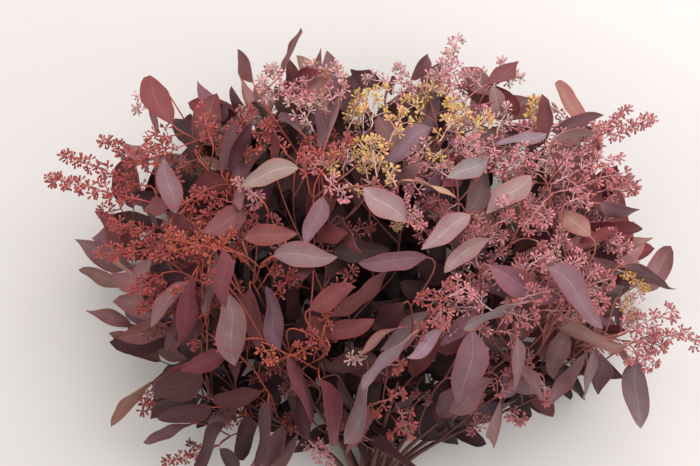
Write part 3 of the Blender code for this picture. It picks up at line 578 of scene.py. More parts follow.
# Where the clusters of buds lie, by shade and in the same millimetres: foot across and down, tip across
# and down, how wide the cluster spreads, and how far below the crown it lies.
CLUSTERS = {
    "red": (
        (146, 201, 44, 177, 26, 20), (150, 186, 60, 156, 22, 30), (156, 166, 98, 139, 20, 40),
        (165, 152, 122, 166, 26, 10), (182, 146, 140, 151, 24, 20), (165, 247, 92, 256, 26, 20),
        (165, 236, 106, 222, 24, 30), (192, 246, 150, 258, 24, 5), (168, 272, 127, 294, 26, 25),
        (166, 300, 134, 311, 22, 35), (212, 142, 200, 103, 24, 5), (232, 202, 188, 190, 22, 35),
        (322, 172, 298, 149, 34, 5), (326, 166, 352, 133, 27, 5), (468, 92, 457, 84, 10, 50),
        (541, 176, 500, 166, 30, 20), (560, 161, 602, 124, 36, 20), (560, 191, 617, 174, 34, 10),
        (546, 200, 519, 231, 34, 5), (500, 222, 518, 214, 26, 10), (534, 240, 547, 246, 28, 20),
        (541, 131, 514, 124, 22, 30), (598, 134, 629, 107, 13, 30), (600, 139, 656, 117, 20, 25),
        (609, 166, 641, 192, 28, 20), (598, 192, 640, 186, 24, 30), (598, 282, 617, 276, 28, 15),
        (580, 301, 612, 301, 31, 5), (610, 226, 634, 236, 17, 25), (619, 334, 678, 308, 36, 5),
        (640, 343, 692, 331, 24, 10), (688, 339, 712, 352, 22, 15), (618, 341, 656, 367, 32, 10),
        (640, 331, 666, 350, 28, 15), (452, 301, 413, 298, 25, -5), (441, 306, 440, 331, 32, -5),
        (411, 336, 428, 324, 26, 0), (452, 294, 443, 279, 20, 5), (520, 299, 566, 285, 34, -5),
        (500, 311, 542, 321, 32, 10), (500, 331, 521, 336, 27, 15), (546, 310, 581, 311, 29, 5),
        (153, 393, 141, 413, 22, 40), (206, 451, 160, 463, 19, 45), (386, 365, 409, 364, 24, 10),
        (386, 400, 407, 389, 26, 0), (399, 410, 411, 436, 30, 5), (397, 428, 388, 438, 16, 15),
        (499, 379, 506, 396, 28, 5), (483, 401, 477, 386, 14, 15), (508, 412, 526, 422, 24, 10),
        (503, 375, 521, 369, 16, 5), (544, 384, 545, 406, 18, 10), (589, 346, 616, 351, 15, 30),
        (209, 268, 208, 287, 13, 5),
    ),
    "rust": (
        (235, 252, 163, 238, 34, -5), (226, 250, 190, 224, 22, 5), (222, 246, 234, 226, 15, -5),
        (242, 340, 214, 348, 20, -5), (262, 345, 276, 366, 29, -5), (290, 356, 318, 344, 26, 5),
        (383, 404, 373, 415, 24, 0), (468, 408, 479, 417, 16, 15), (183, 285, 171, 298, 13, 0),
    ),
    "dark": (
        (165, 324, 144, 338, 15, 45), (222, 164, 217, 112, 12, 30), (622, 234, 603, 251, 22, 40),
        (238, 414, 212, 411, 17, 45), (199, 447, 185, 440, 11, 50), (529, 351, 527, 379, 13, 30),
    ),
    "wine": (
        (441, 200, 419, 206, 24, 25), (456, 204, 439, 216, 22, 25), (490, 330, 474, 325, 13, 15),
        (241, 414, 251, 427, 14, 40), (300, 330, 327, 344, 21, 10), (291, 432, 289, 411, 20, 20),
        (346, 408, 341, 431, 18, 35), (418, 401, 432, 390, 20, 45), (191, 330, 196, 352, 18, 35),
    ),
    "pink": (
        (257, 196, 231, 178, 17, 0), (244, 184, 263, 208, 27, 5), (331, 166, 299, 162, 25, 15),
        (325, 176, 351, 203, 26, -5), (365, 180, 397, 196, 22, 0), (384, 190, 425, 231, 28, 10),
        (500, 151, 453, 141, 36, 5), (521, 166, 478, 160, 34, 10), (546, 161, 510, 150, 30, 0),
        (556, 181, 603, 158, 38, 15), (570, 201, 592, 196, 34, 15), (540, 214, 552, 226, 32, 0),
        (512, 200, 494, 205, 20, 0), (606, 165, 624, 155, 15, 15), (530, 266, 553, 249, 25, 0),
        (560, 271, 588, 254, 27, 5), (588, 277, 602, 264, 26, 15), (450, 296, 472, 284, 32, 0),
        (309, 441, 331, 462, 27, 15),
    ),
    "straw": (
        (331, 182, 333, 148, 20, 15), (377, 176, 369, 133, 34, 0), (360, 162, 388, 139, 30, 5),
        (396, 186, 384, 164, 26, 10), (390, 141, 406, 106, 30, 0), (441, 151, 428, 162, 24, 10),
        (440, 141, 466, 104, 32, 10), (470, 136, 492, 110, 28, 10), (350, 184, 363, 197, 15, 20),
        (397, 222, 393, 232, 9, 35),
    ),
    "amber": (
        (372, 126, 375, 84, 36, 25), (455, 126, 450, 95, 22, 25), (531, 131, 535, 93, 20, 40),
        (618, 270, 651, 289, 15, 35), (620, 299, 636, 319, 17, 45),
    ),
    "faded": (
        (342, 77, 300, 64, 20, 50), (346, 82, 331, 60, 16, 55), (322, 97, 300, 104, 18, 55),
        (402, 88, 400, 62, 20, 55), (427, 88, 428, 68, 18, 50), (431, 87, 461, 35, 21, 45),
        (500, 71, 503, 57, 8, 40), (262, 118, 236, 108, 18, 60),
    ),
}
# Leaves that lie on the ground under the bunch and carry it: foot and tip on the sheet.
RESTING = (
    (235, 250, 180, 232), (245, 150, 200, 112), (330, 110, 312, 62), (420, 112, 440, 62),
    (500, 155, 548, 122), (510, 250, 566, 238), (300, 330, 248, 352), (450, 335, 500, 358),
)
RESTING_WIDTH = 22
INNER_LEAVES = 106
INNER_TRIES = 6000
LIFTS = (0, -9, 9, -18, 18, -28, 28, -40, 40, -55)  # how far a piece may move up or down to lie clear
ROOTS_TRIED = 5
DROOP_FROM = 0.6  # how near the crown's rim the leaves start to hang
MOST_TILT = 34
CLEAR = 0.3  # kept free round each piece
GROUND_CLEAR = 2


def nearest_stem(stems, point):
    """The number of the stem that points closest to a point, seen from the foot of the fan."""
    way = (point - FAN_FROM).normalized()
    return max(range(len(stems)), key=lambda n: stems[n]["way"].dot(way))


def root_nodes(stem, foot, most):
    """The nodes of a spray that a twig to foot may leave from, best first."""
    found = []
    for node in stem["nodes"]:
        reach = foot - node["centre"]
        way = node["way"]
        turn = reach.normalized().dot(way)
        if reach.length < 8 or turn < 0 or len(node["out"]) >= node["most"]:
            continue
        out = square_to(reach, way)
        apart = 0.3 if node["most"] < 3 else 0.65
        if all(out.dot(square_to(other, way)) < apart for other in node["out"]):
            found.append((reach.length * (1.7 - turn), node))
    found.sort(key=lambda entry: entry[0])
    return [node for _, node in found[:most]]


def settle(stems, crowd, foot, make, roots=ROOTS_TRIED):
    """Grows what make shapes on the nearest stem, from the first node where it lies clear."""
    item = make()
    curve = item.get("blade") or item["axis"]
    number = nearest_stem(stems, curve[0].lerp(curve[3], 0.3))
    stem = stems[number]
    for node in root_nodes(stem, foot, roots):
        item["node"] = node
        item["twig"] = twig_curve(node["centre"], node["way"], curve[0], along(curve, 0)[1])
        item["stops"] = twig_stops(item["twig"], item.get("bends", 2))
        thick = lone_solid(item, CLEAR)
        lowest = min(p.z for p in thick[0])
        too_low = lowest < (-CLEAR - 0.01 if item.get("rests") else GROUND_CLEAR)
        if too_low or crowd.hit(number, thick):
            continue
        node["out"].append(along(item["twig"], 0)[1])
        stem["items"].append(item)
        if crosses_itself(spray_solid(stem)):
            node["out"].pop()
            stem["items"].pop()
            continue
        stem["nodes"] += [stop[3] for stop in item["stops"]]
        crowd.add(number, lone_solid(item, 0))
        return True
    return False


def hand_ends(rng, kind, foot_place, tip_place, below):
    """Where the foot and the tip are. A leaf that shows short is tilted to its real length."""
    height = crown_height(foot_place) - below
    lean = (crown_height(tip_place) - crown_height(foot_place)) * 0.6
    if kind == "leaf":
        shown = math.dist(foot_place, tip_place)
        short = math.sqrt(max(0, LEAF_LENGTH**2 - shown**2 - lean**2))
        outer = off_middle(tip_place) > DROOP_FROM
        lean += min(short, MOST_TILT) * (-1 if outer else rng.choice((-1, 1)))
    return on_sheet(*foot_place, height), on_sheet(*tip_place, max(height + lean, 8))


def place_by_hand(stems, crowd, state, kind, foot_place, tip_place, size, below, shade):
    """Puts a leaf or a cluster where it shows, at the first depth where it is clear."""
    for lift in LIFTS:
        def make():
            rng = random.Random(state)
            foot, tip = hand_ends(rng, kind, foot_place, tip_place, below - lift)
            if kind == "leaf":
                return shape_leaf(rng, foot, tip, size, BLADE_STATIONS) | {"shade": shade}
            return shape_cluster(rng, foot, tip, size) | {"shade": shade}
        foot = on_sheet(*foot_place, crown_height(foot_place) - below + lift)
        if settle(stems, crowd, foot, make):
            return


def place_resting(stems, crowd, state, foot_place, tip_place):
    """Lays a flat leaf on the ground."""
    foot, tip = on_sheet(*foot_place, 9), on_sheet(*tip_place, 3)

    def make():
        leaf = shape_leaf(random.Random(state), foot, tip, RESTING_WIDTH, BLADE_STATIONS)
        leaf |= {"shade": "plum", "rests": True, "roll": 0, "twist": 0, "fold": 0}
        sink = Vector((0, 0, min(p.z for ring in blade_rings(leaf, 0) for p in ring)))
        leaf["blade"] = tuple(p - sink for p in leaf["blade"])
        return leaf
    settle(stems, crowd, foot, make, 12)


def fill_inside(stems, crowd, rng):
    """Leaves between and under the others, which show from the sides, by a seeded rule."""
    made = 0
    for _ in range(INNER_TRIES):
        if made == INNER_LEAVES:
            return
        angle, reach = rng.uniform(0, math.tau), math.sqrt(rng.random()) * 0.88
        place = (CROWN_MIDDLE[0] + CROWN_HALF[0] * reach * math.cos(angle),
                 CROWN_MIDDLE[1] + CROWN_HALF[1] * reach * math.sin(angle))
        top = crown_height(place) - 60
        low, high = (60, top) if made % 2 else (14, min(110, top))
        foot = on_sheet(*place, rng.uniform(low, high))
        stray = Vector((rng.gauss(0, 1), rng.gauss(0, 1), rng.gauss(0, 0.6)))
        tip = foot + ((foot - FAN_FROM).normalized() + stray * 0.45).normalized() * rng.uniform(54, 68)
        tip_place = (SHEET_ACROSS / 2 + tip.x, SHEET_DOWN / 2 - tip.y)
        if tip.z < 8 or tip.z > crown_height(tip_place) - 40 or off_middle(tip_place) > 0.95:
            continue
        state = rng.getrandbits(32)

        def make():
            return shape_leaf(random.Random(state), foot, tip, 0, INNER_STATIONS) | {"bends": 1}
        made += settle(stems, crowd, foot, make, 2)


def grow_bunch():
    """Every spray's stem, leaves and clusters, each clear of all the others."""
    rng = random.Random(SEED)
    stems = stem_routes()
    crowd = Crowd()
    for number, stem in enumerate(stems):
        crowd.add(number, spray_solid(stem))
    wanted = []
    for kind, shades in (("leaf", LEAVES), ("cluster", CLUSTERS)):
        for shade, rows in shades.items():
            for *ends, size, below in rows:
                place, tip_place = tuple(ends[:2]), tuple(ends[2:])
                foot = on_sheet(*place, crown_height(place) - below)
                wanted.append(((foot - FAN_FROM).length, kind, place, tip_place, size, below, shade))
    for _, *piece in sorted(wanted):
        place_by_hand(stems, crowd, rng.getrandbits(32), *piece)
    for across, down, tip_across, tip_down in RESTING:
        place_resting(stems, crowd, rng.getrandbits(32), (across, down), (tip_across, tip_down))
    fill_inside(stems, crowd, rng)
    return stems


stems = grow_bunch()


# The solids have the leaves and clusters that show, and one for every few that stand within the bunch.
# The rest grow here along the same twigs, under the crown, each on a short stalk and clear of the others.
MORE = {"leaf": 500, "cluster": 290}
MORE_TRIES = 26000
COVER = {"leaf": 50, "cluster": 9}  # how far below the crown they stay
INNER_REACH = 0.87  # how near the rim of the crown they come
SHORTEST_ROUTE = 16  # twigs shorter than this bear nothing more
DEEP = 75  # how far below the crown hardly any buds grow
LOWEST = 7  # over the ground
STALK_LENGTHS = (7, 21)
LENGTHS = {"leaf": (48, 68), "cluster": (26, 44)}
SPREADS = (18, 30)
BLADE_ROOM = 0.25  # kept free round a new leaf
BUD_ROOM = 5  # how far from its axis a new cluster may touch nothing
BUD_HALF_ROOM = 2.5  # how far from its axis later pieces may not come


def routes_of(stem):
    """The twigs and the leafy stretch of a stem that more can grow on."""
    stops = [stop for stop in stem["stops"] if stop[3]]
    routes = [(a[0], a[0].lerp(b[0], 0.33), a[0].lerp(b[0], 0.67), b[0]) for a, b in zip(stops, stops[1:])]
    twigs = [item["twig"] for item in stem["items"]]
    return routes + [twig for twig in twigs if (twig[3] - twig[0]).length > SHORTEST_ROUTE]


def loose_share(place):
    """How loose and full of buds the crown is at a place of the sheet, from 0 in its leafy heart to 1."""
    across, down = place
    sides = max(ramp(across, 245, 195), ramp(across, 420, 480), ramp(down, 195, 150))
    return sides * max(ramp(down, 380, 320), 0.25)


# Leaves within the bunch take darker shades in its heart and lighter ones at its rim, right and top, and
# clusters are pinker on the right: partly the dye's own spread and partly painted shade and light.
def near_shade(kind, place, rng):
    """The shade that the leaves or the clusters round a place of the sheet have."""
    across, down = place
    if kind == "leaf":
        if off_middle(place) > 0.72 and down < 340:
            shades = ("mauve", "tan", "mauve", "rose")
        elif across > 420 or down < 160:
            shades = ("mauve", "rose", "mauve", "plum")
        else:
            shades = ("plum", "wine", "plum", "plum", "mauve")
    elif math.hypot((across - 405) / 80, (down - 122) / 42) < 1:
        shades = ("straw", "amber", "pink", "faded")
    elif down < 115:
        shades = ("faded", "pink", "faded")
    elif across < 330:
        shades = ("red", "red", "rust", "wine", "dark")
    else:
        shades = ("pink", "red", "pink", "pink", "faded")
    return rng.choice(shades)


def lofted(rings):
    """A plain solid through rings of points."""
    surface = Surface()
    surface.loft(rings)
    return surface.solid()


def grow_more(stems):
    """More leaves and clusters on every stem, placed by a seeded rule."""
    rng = random.Random(SEED + 1)
    crowd = Crowd()
    routes = []
    for number, stem in enumerate(stems):
        stem["more"] = []
        for item in stem["items"]:
            crowd.add(number, lone_solid(item, 0))
        routes += [(number, route) for route in routes_of(stem)]
    weights = [(route[3] - route[0]).length for _, route in routes]
    made = {"leaf": 0, "cluster": 0}
    for number, route in rng.choices(routes, weights, k=MORE_TRIES):
        root, way = along(route, rng.uniform(0.1, 0.95))
        place = sheet_place(root)
        deep = crown_height(place) - root.z > DEEP
        share = 0.08 if deep else 0.12 + 0.78 * loose_share(place)
        kind = "cluster" if rng.random() < share else "leaf"
        if made[kind] == MORE[kind]:
            continue
        out = square_to(any_way(rng), way)
        stalk = rng.uniform(*STALK_LENGTHS)
        foot = root + (out + way * 0.6).normalized() * stalk
        hang = 0.9 * ramp(place[1], 330, 380)
        heading = (way * 0.5 + out * 0.7 + Vector((0, -hang, rng.uniform(-0.35, 0.3)))).normalized()
        tip = foot + heading * rng.uniform(*LENGTHS[kind])
        middle = foot.lerp(tip, 0.5)
        reached = [sheet_place(p) for p in (foot, middle, tip)]
        low = ramp(reached[1][1], 320, 370)
        reach = INNER_REACH + (0.12 if kind == "cluster" else 0.16 * low)
        if min(foot.z, tip.z) < LOWEST or max(off_middle(place) for place in reached) > reach:
            continue
        cover = COVER[kind] * (1 - 0.6 * low)
        if any(p.z > crown_height(place) - cover for p, place in zip((middle, tip), reached[1:])):
            continue
        shade = near_shade(kind, reached[1], rng)
        if kind == "leaf":
            item = shape_leaf(rng, foot, tip, 0, BLADE_STATIONS)
            solid = lofted(blade_rings(item, BLADE_ROOM))
        else:
            item = shape_cluster(rng, foot, tip, rng.uniform(*SPREADS))
            solid = lofted(axis_rings(item, BUD_ROOM))
        if crowd.hit(-1, solid):
            continue
        if kind == "cluster":
            solid = lofted(axis_rings(item, BUD_HALF_ROOM))
        curve = item.get("blade") or item["axis"]
        item["shade"] = shade
        item["twig"] = (root, root.lerp(foot, 0.4) + way, foot - along(curve, 0)[1] * stalk * 0.3, foot)
        stems[number]["more"].append(item)
        crowd.add(number, solid)
        made[kind] += 1


grow_more(stems)
inner_rng = random.Random(SEED + 2)
for stem in stems:
    for item in stem["items"]:
        if item.get("bends"):
            item["shade"] = near_shade("leaf", sheet_place(along(item["blade"], 0.8)[0]), inner_rng)


# The leaves are thin, leathery and drawn out to a point, matt under a grey waxy bloom, and were dyed
# through their stems, so the colour runs from dusty lilac to dark plum. Each has a pale midrib, faint
# side veins and a thin red edge, and lies gently waved and folded along its rib. Within the bunch their
# colour is darkened with painted shade, and along each blade's middle a painted sheen lightens it.
# Each piece is laid out in millimetres, and one shift lays the layout's band on the frame's band.
MILLIMETRE = 0.001
BAND_WIDTH = 12
BAND_SIDES = 32


def band_solid():
    """A flat rubber band drawn tight round the stems: the outline of the bundle, one band thick."""
    centres = [tied_place(row, place) for row, ways in enumerate(STEM_ROWS) for place in range(len(ways))]
    loops = []
    for out, end in ((0, -1), (BAND_THICKNESS, -1), (BAND_THICKNESS, 1), (0, 1)):
        loop = []
        for i in range(BAND_SIDES):
            angle = math.tau * (i + 0.5) / BAND_SIDES
            way = Vector((math.cos(angle), 0, math.sin(angle)))
            reach = (STEM_RADIUS + BAND_CLEARANCE + out) / math.cos(math.pi / BAND_SIDES)
            loop.append(max(centres, key=way.dot) + way * reach + Vector((0, end * BAND_WIDTH / 2, 0)))
        loops.append(loop)
    faces = []
    for k in range(len(loops)):
        near, far = k * BAND_SIDES, (k + 1) % len(loops) * BAND_SIDES
        faces += [(near + i, near + (i + 1) % BAND_SIDES, far + (i + 1) % BAND_SIDES, far + i)
                  for i in range(BAND_SIDES)]
    return [p for loop in loops for p in loop], faces


band_points, band_faces = band_solid()
band_low, band_high = box_of(band_points)
frame_low, frame_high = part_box("band")
band_middle = Vector([(a + b) / 2 for a, b in zip(band_low, band_high)])
SHIFT = (frame_low + frame_high) / 2 - band_middle * MILLIMETRE
INSIDE = 0.00002  # kept free inside the CAD model's box, in metres


def linear(colour):
    """An sRGB hex colour as linear red, green and blue."""
    shares = [int(colour[i:i + 2], 16) / 255 for i in (1, 3, 5)]
    return tuple(c / 12.92 if c <= 0.04045 else ((c + 0.055) / 1.055) ** 2.4 for c in shares)


def blend(first, second, share):
    """A colour that lies that share of the way from the first to the second."""
    return tuple(a + (b - a) * share for a, b in zip(first, second))


def put_in_scene(name, data):
    """A mesh, a light or a camera as an object of the scene."""
    thing = bpy.data.objects.new(name, data)
    bpy.context.scene.collection.objects.link(thing)
    return thing


class Skin:
    """The points, faces and colours of one piece while it is made. Each point keeps its place on its
    leaf or stalk (along, across) and a number of its own kind, so that no two leaves look alike."""

    def __init__(self):
        self.points = []
        self.faces = []
        self.tints = []
        self.places = []

    def add(self, points, faces, tints, places):
        """Adds a closed form. Its faces number its own points."""
        start = len(self.points)
        self.points += points
        self.tints += tints
        self.places += places
        self.faces += [tuple(start + i for i in face) for face in faces]

    def piece(self, name, material, number):
        """The finished mesh, in the frame's metres and on the frame's body."""
        mesh = bpy.data.meshes.new(name)
        points = np.array(self.points) * MILLIMETRE + np.array(SHIFT)
        points = np.clip(points, np.array(cad_low) + INSIDE, np.array(cad_high) - INSIDE)
        mesh.from_pydata(points.tolist(), [], self.faces)
        mesh.materials.append(material)
        tint = mesh.attributes.new("tint", "FLOAT_COLOR", "POINT")
        tint.data.foreach_set("color", [c for row in self.tints for c in (*row, 1)])
        place = mesh.attributes.new("place", "FLOAT_VECTOR", "POINT")
        place.data.foreach_set("vector", [c for row in self.places for c in row])
        mesh.shade_smooth()
        mesh.set_sharp_from_angle(angle=math.radians(55))
        thing = put_in_scene(name, mesh)
        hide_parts(f"spray_{number:02d}")
        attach(thing, "root")


LEAF_STEPS = 13
LEAF_ACROSS = (-1, -0.78, -0.36, 0, 0.36, 0.78, 1)
INNER_STEPS = 8
INNER_ACROSS = (-1, -0.5, 0, 0.5, 1)
LEAF_THICKNESS = 0.45
RIB_THICKNESS = 0.5
WIDEST_AT = (0.34, 0.52)  # how far along the leaf is widest
TIPS_DRAWN = (0.55, 0.65, 0.75, 0.85, 1.0, 1.2)  # from a blunt tip to a long drawn one
WAVES = (0.4, 1.5)  # how high the edge waves
SWAYS = (-0.09, -0.05, 0.03, 0.06, 0.1)  # how far the blade sways off its rib's curve, for its width
LEAF_COLOURS = {
    "rose": linear("#6b3336"), "tan": linear("#8e615c"), "plum": linear("#462226"),
    "mauve": linear("#755055"), "wine": linear("#61292c"), "pale": linear("#83676c"),
    "straw": linear("#b99a7c"),
}
BACK_COLOUR = linear("#9a7d83")


def painted_light_share(point):
    """Painted light and shade: 1 where a point lies in the crown's lit outer leaves or near its rim,
    falling to 0 in the shade within the bunch.
    """
    place = sheet_place(point)
    under = 1.15 - (crown_height(place) - point.z) / (80 + 120 * loose_share(place))
    rim = (off_middle(place) - 0.6) / 0.16 * ramp(place[1], 370, 310)
    return min(max(under, rim, 0), 1)


def leaf_width(t, peak, drawn):
    """Half the leaf's width at t from its petiole to its tip, where the widest place is 1."""
    if t < peak:
        return math.sin(math.pi / 2 * t / peak) ** 0.68
    return math.cos(math.pi / 2 * min((t - peak) / (1 - peak), 1)) ** drawn


def add_leaf(skin, leaf, rng, steps, columns):
    """A thin blade with both its faces, on the same curve as the CAD's."""
    peak = rng.uniform(*WIDEST_AT)
    drawn = rng.choice(TIPS_DRAWN)
    luck = rng.random()
    wave = rng.uniform(*WAVES)
    turns = rng.uniform(1.0, 2.4) * math.tau
    start = rng.uniform(0, math.tau)
    sway = leaf["width"] * rng.choice(SWAYS)
    front = blend(LEAF_COLOURS[leaf["shade"]], LEAF_COLOURS["mauve"], rng.uniform(0, 0.12))
    # Painted shade: within the bunch a leaf is darkened, down to a fifth of its colour, and its paler
    # underside shows less; in the lit outer leaves it keeps its full colour.
    outer = painted_light_share(along(leaf["blade"], 0.6)[0])
    front = tuple(c * rng.uniform(0.88, 1.12) * (0.2 + 0.8 * outer) for c in front)
    back = blend(front, BACK_COLOUR, 0.3 * outer)
    points, tints, places = [], [], []
    for side_sign in (1, -1):
        for row in range(steps + 1):
            t = row / steps
            centre, way = along(leaf["blade"], min(t, 0.995))
            turn = Matrix.Rotation(leaf["roll"] + leaf["twist"] * (t - 0.4), 3, way)
            normal = turn @ square_to(leaf["facing"], way)
            side = normal.cross(way)
            half = max(leaf["width"] / 2 * leaf_width(t, peak, drawn), PETIOLE_RADIUS * (1 - t) + 0.15)
            centre = centre + side * sway * math.sin(math.tau * t) * (1 - t * 0.3)
            for s in columns:
                lift = half * leaf["fold"] * (math.hypot(s, 0.12) - 0.12)
                ripple = math.sin(start + turns * t + (2.1 if s > 0 else 0))
                lift += wave * s * s * ripple * min(1, half / 5)
                thick = LEAF_THICKNESS / 2
                if side_sign < 0:
                    thick += RIB_THICKNESS * max(0, 1 - abs(s) * 6) * (1 - t)
                rim = 1 + 0.05 * math.sin(start * 3 + 11 * t + 2 * s)
                points.append(centre + side * half * s * rim + normal * (lift + side_sign * thick))
                tints.append(front if side_sign > 0 else back)
                places.append((t, s, luck + (0 if side_sign > 0 else 2)))
    across = len(columns)
    under = across * (steps + 1)
    faces = []
    for i in range(steps):
        for j in range(across - 1):
            a = i * across + j
            faces.append((a, a + across, a + across + 1, a + 1))
            faces.append((under + a, under + a + 1, under + a + across + 1, under + a + across))
        left, right = i * across, i * across + across - 1
        faces.append((left, under + left, under + left + across, left + across))
        faces.append((right, right + across, under + right + across, under + right))
    last = steps * across
    for j in range(across - 1):
        faces.append((j, j + 1, under + j + 1, under + j))
        faces.append((last + j, under + last + j, under + last + j + 1, last + j + 1))
    skin.add(points, faces, tints, places)


def new_material(name):
    """A material whose tree is still empty, and its tree."""
    material = bpy.data.materials.new(name)
    material.use_nodes = True
    material.node_tree.nodes.clear()
    return material, material.node_tree


def add(tree, kind, settings=None, inputs=None):
    """Adds a shader node. An input takes either a value or another node's output."""
    node = tree.nodes.new("ShaderNode" + kind)
    for name, value in (settings or {}).items():
        setattr(node, name, value)
    for place, value in (inputs or {}).items():
        if isinstance(value, bpy.types.NodeSocket):
            tree.links.new(value, node.inputs[place])
        else:
            node.inputs[place].default_value = value
    return node


# Dyed eucalyptus leaf, dried a little: the waxy bloom gives a soft sheen and takes the gloss away.
leaf_material, tree = new_material("dyed eucalyptus leaf with waxy bloom")
tint = add(tree, "Attribute", {"attribute_name": "tint"}).outputs["Color"]
place = add(tree, "Attribute", {"attribute_name": "place"}).outputs["Vector"]
parts = add(tree, "SeparateXYZ", None, {0: place})
spot = add(tree, "TexCoord").outputs["Object"]
# The bloom greys the blade in cloudy patches of about 12 mm. Its greying is strongest along the
# blade's middle and fades towards its edges: that fall is a painted sheen.
off_rib = add(tree, "Math", {"operation": "ABSOLUTE"}, {0: parts.outputs["Y"]})
painted_sheen = add(tree, "MapRange", None, {0: off_rib.outputs[0], 1: 0.3, 2: 1.0, 3: 1.0, 4: 0.1})
cloud = add(tree, "TexNoise", None, {"Vector": spot, "Scale": 85.0, "Detail": 3.0, "Roughness": 0.6})
patch = add(tree, "MapRange", None, {0: cloud.outputs[0], 1: 0.35, 2: 0.65, 3: 0.15, 4: 0.7})
bloom_and_sheen = add(tree, "Math", {"operation": "MULTIPLY"}, {0: patch.outputs[0], 1: painted_sheen.outputs[0]})
# Fine flecks of about a millimetre, where the dye took more.
fleck = add(tree, "TexNoise", None, {"Vector": spot, "Scale": 900.0, "Detail": 2.0, "Roughness": 0.7})
flecks = add(tree, "MapRange", None, {0: fleck.outputs[0], 1: 0.4, 2: 0.7, 3: 0.93, 4: 1.05})
# The midrib is a pale line about half a millimetre wide.
rib = add(tree, "MapRange", {"interpolation_type": "SMOOTHSTEP"},
          {0: off_rib.outputs[0], 1: 0.015, 2: 0.06, 3: 0.34, 4: 0.0})
# Faint side veins leave the rib every 4 mm at a steep slant.
slant = add(tree, "Math", {"operation": "MULTIPLY_ADD"},
            {0: off_rib.outputs[0], 1: -0.22, 2: parts.outputs["X"]})
step = add(tree, "Math", {"operation": "MULTIPLY"}, {0: slant.outputs[0], 1: 15.0})
tooth = add(tree, "Math", {"operation": "PINGPONG"}, {0: step.outputs[0], 1: 0.5})
vein = add(tree, "MapRange", {"interpolation_type": "SMOOTHSTEP"},
           {0: tooth.outputs[0], 1: 0.0, 2: 0.09, 3: 0.1, 4: 0.0})
# The blade reddens towards its edge.
edge = add(tree, "MapRange", {"interpolation_type": "SMOOTHSTEP"},
           {0: off_rib.outputs[0], 1: 0.66, 2: 1.0, 3: 0.0, 4: 0.45})
# Each of them lightens or darkens the dye under it.
colour = tint
for share, over in (
    (bloom_and_sheen.outputs[0], (1.32, 1.68, 1.63, 1)),
    (1.0, flecks.outputs[0]),
    (rib.outputs[0], (2.3, 2.4, 2.1, 1)),
    (vein.outputs[0], (2.0, 2.1, 2.0, 1)),
    (edge.outputs[0], (1.5, 0.85, 0.72, 1)),
):
    layer = add(tree, "Mix", {"data_type": "RGBA", "blend_type": "MULTIPLY"},
                {0: share, 6: colour, 7: over})
    colour = layer.outputs[2]
height = add(tree, "Math", {"operation": "ADD"}, {0: rib.outputs[0], 1: vein.outputs[0]})
bump = add(tree, "Bump", None, {"Strength": 0.35, "Distance": 0.0004, "Height": height.outputs[0]})
grain = add(tree, "Bump", None,
            {"Strength": 0.25, "Distance": 0.0002, "Height": fleck.outputs[0], "Normal": bump.outputs[0]})
rough = add(tree, "MapRange", None, {0: cloud.outputs[0], 1: 0.3, 2: 0.7, 3: 0.5, 4: 0.68})
shader = add(tree, "BsdfPrincipled", None, {
    "Base Color": colour, "Roughness": rough.outputs[0], "Normal": grain.outputs[0],
    "IOR": 1.42, "Specular IOR Level": 0.3, "Sheen Weight": 0.04, "Sheen Roughness": 0.45,
    "Sheen Tint": (*linear("#e9d6da"), 1)})
add(tree, "OutputMaterial", None, {"Surface": shader.outputs[0]})

for number, stem in enumerate(stems, 1):
    skin = Skin()
    rng = random.Random(number)
    for items, steps, columns in (
        (stem["items"], LEAF_STEPS, LEAF_ACROSS),
        (stem["more"], INNER_STEPS, INNER_ACROSS),
    ):
        for item in items:
            if item["kind"] == "leaf":
                add_leaf(skin, item, rng, steps, columns)
    skin.piece(f"leaves_{number:02d}", leaf_material, number)


# The woody stems and the thin wiry twigs and leaf stalks are one growth, brown where thick and orange
# red where young. The stems were cut straight across, which shows their pale wood. Within the bunch the
# twigs are darkened with painted shade, and on the right side the stalks are paler with painted haze.
STEM_ROUND = 14
TWIG_ROUND = 6
TWIG_THICK = 0.9  # for the solids' twigs
INNER_TWIG_THICK = 0.65
STALK_COLOUR = linear("#b04a36")
# Paler stalk colour for the right side of the bunch: painted haze and light from the right.
HAZED_STALK = linear("#a06a66")
# Dark brown of the thinner stem, which also serves as painted shade on the twigs within the bunch.
OLD_WOOD_AND_SHADE = linear("#512a26")
BARK_COLOUR = linear("#6b463c")
WOOD_COLOUR = linear("#cdb28c")


def add_tube(skin, stops, sides, luck, side=None):
    """A round stalk through stops of centre, way, radius and colour, closed at both its ends."""
    points, tints, places = [], [], []
    side = side or stops[0][1].orthogonal()
    length = 0
    for number, (centre, way, radius, colour) in enumerate(stops):
        side = square_to(side, way)
        points += round_ring(centre, side, way, radius, sides)
        length += (centre - stops[number - 1][0]).length if number else 0
        tints += [colour] * sides
        places += [(length, math.sin(math.tau * k / sides), luck) for k in range(sides)]
    faces = [tuple(range(sides))[::-1], tuple(range(len(points) - sides, len(points)))]
    for ring in range(len(stops) - 1):
        near = ring * sides
        for k in range(sides):
            j = (k + 1) % sides
            faces.append((near + k, near + j, near + sides + j, near + sides + k))
    skin.add(points, faces, tints, places)


def add_twig(skin, item, thick, rng):
    """The item's own twig, which thins towards its leaf or its buds."""
    steps = max(3, int((item["twig"][3] - item["twig"][0]).length / 6))
    young = blend(STALK_COLOUR, item["stalk"], 0.5)
    luck = rng.random()
    stops = []
    for step in range(steps + 1):
        t = step / steps
        centre, way = along(item["twig"], t)
        radius = thick + (PETIOLE_RADIUS * 0.85 - thick) * t
        # Painted shade: within the bunch the twig turns towards the dark brown of the thinner stem.
        colour = blend(OLD_WOOD_AND_SHADE, young, (0.2 + 0.8 * t) * painted_light_share(centre))
        stops.append((centre, way, radius, colour))
    add_tube(skin, stops, TWIG_ROUND, luck)


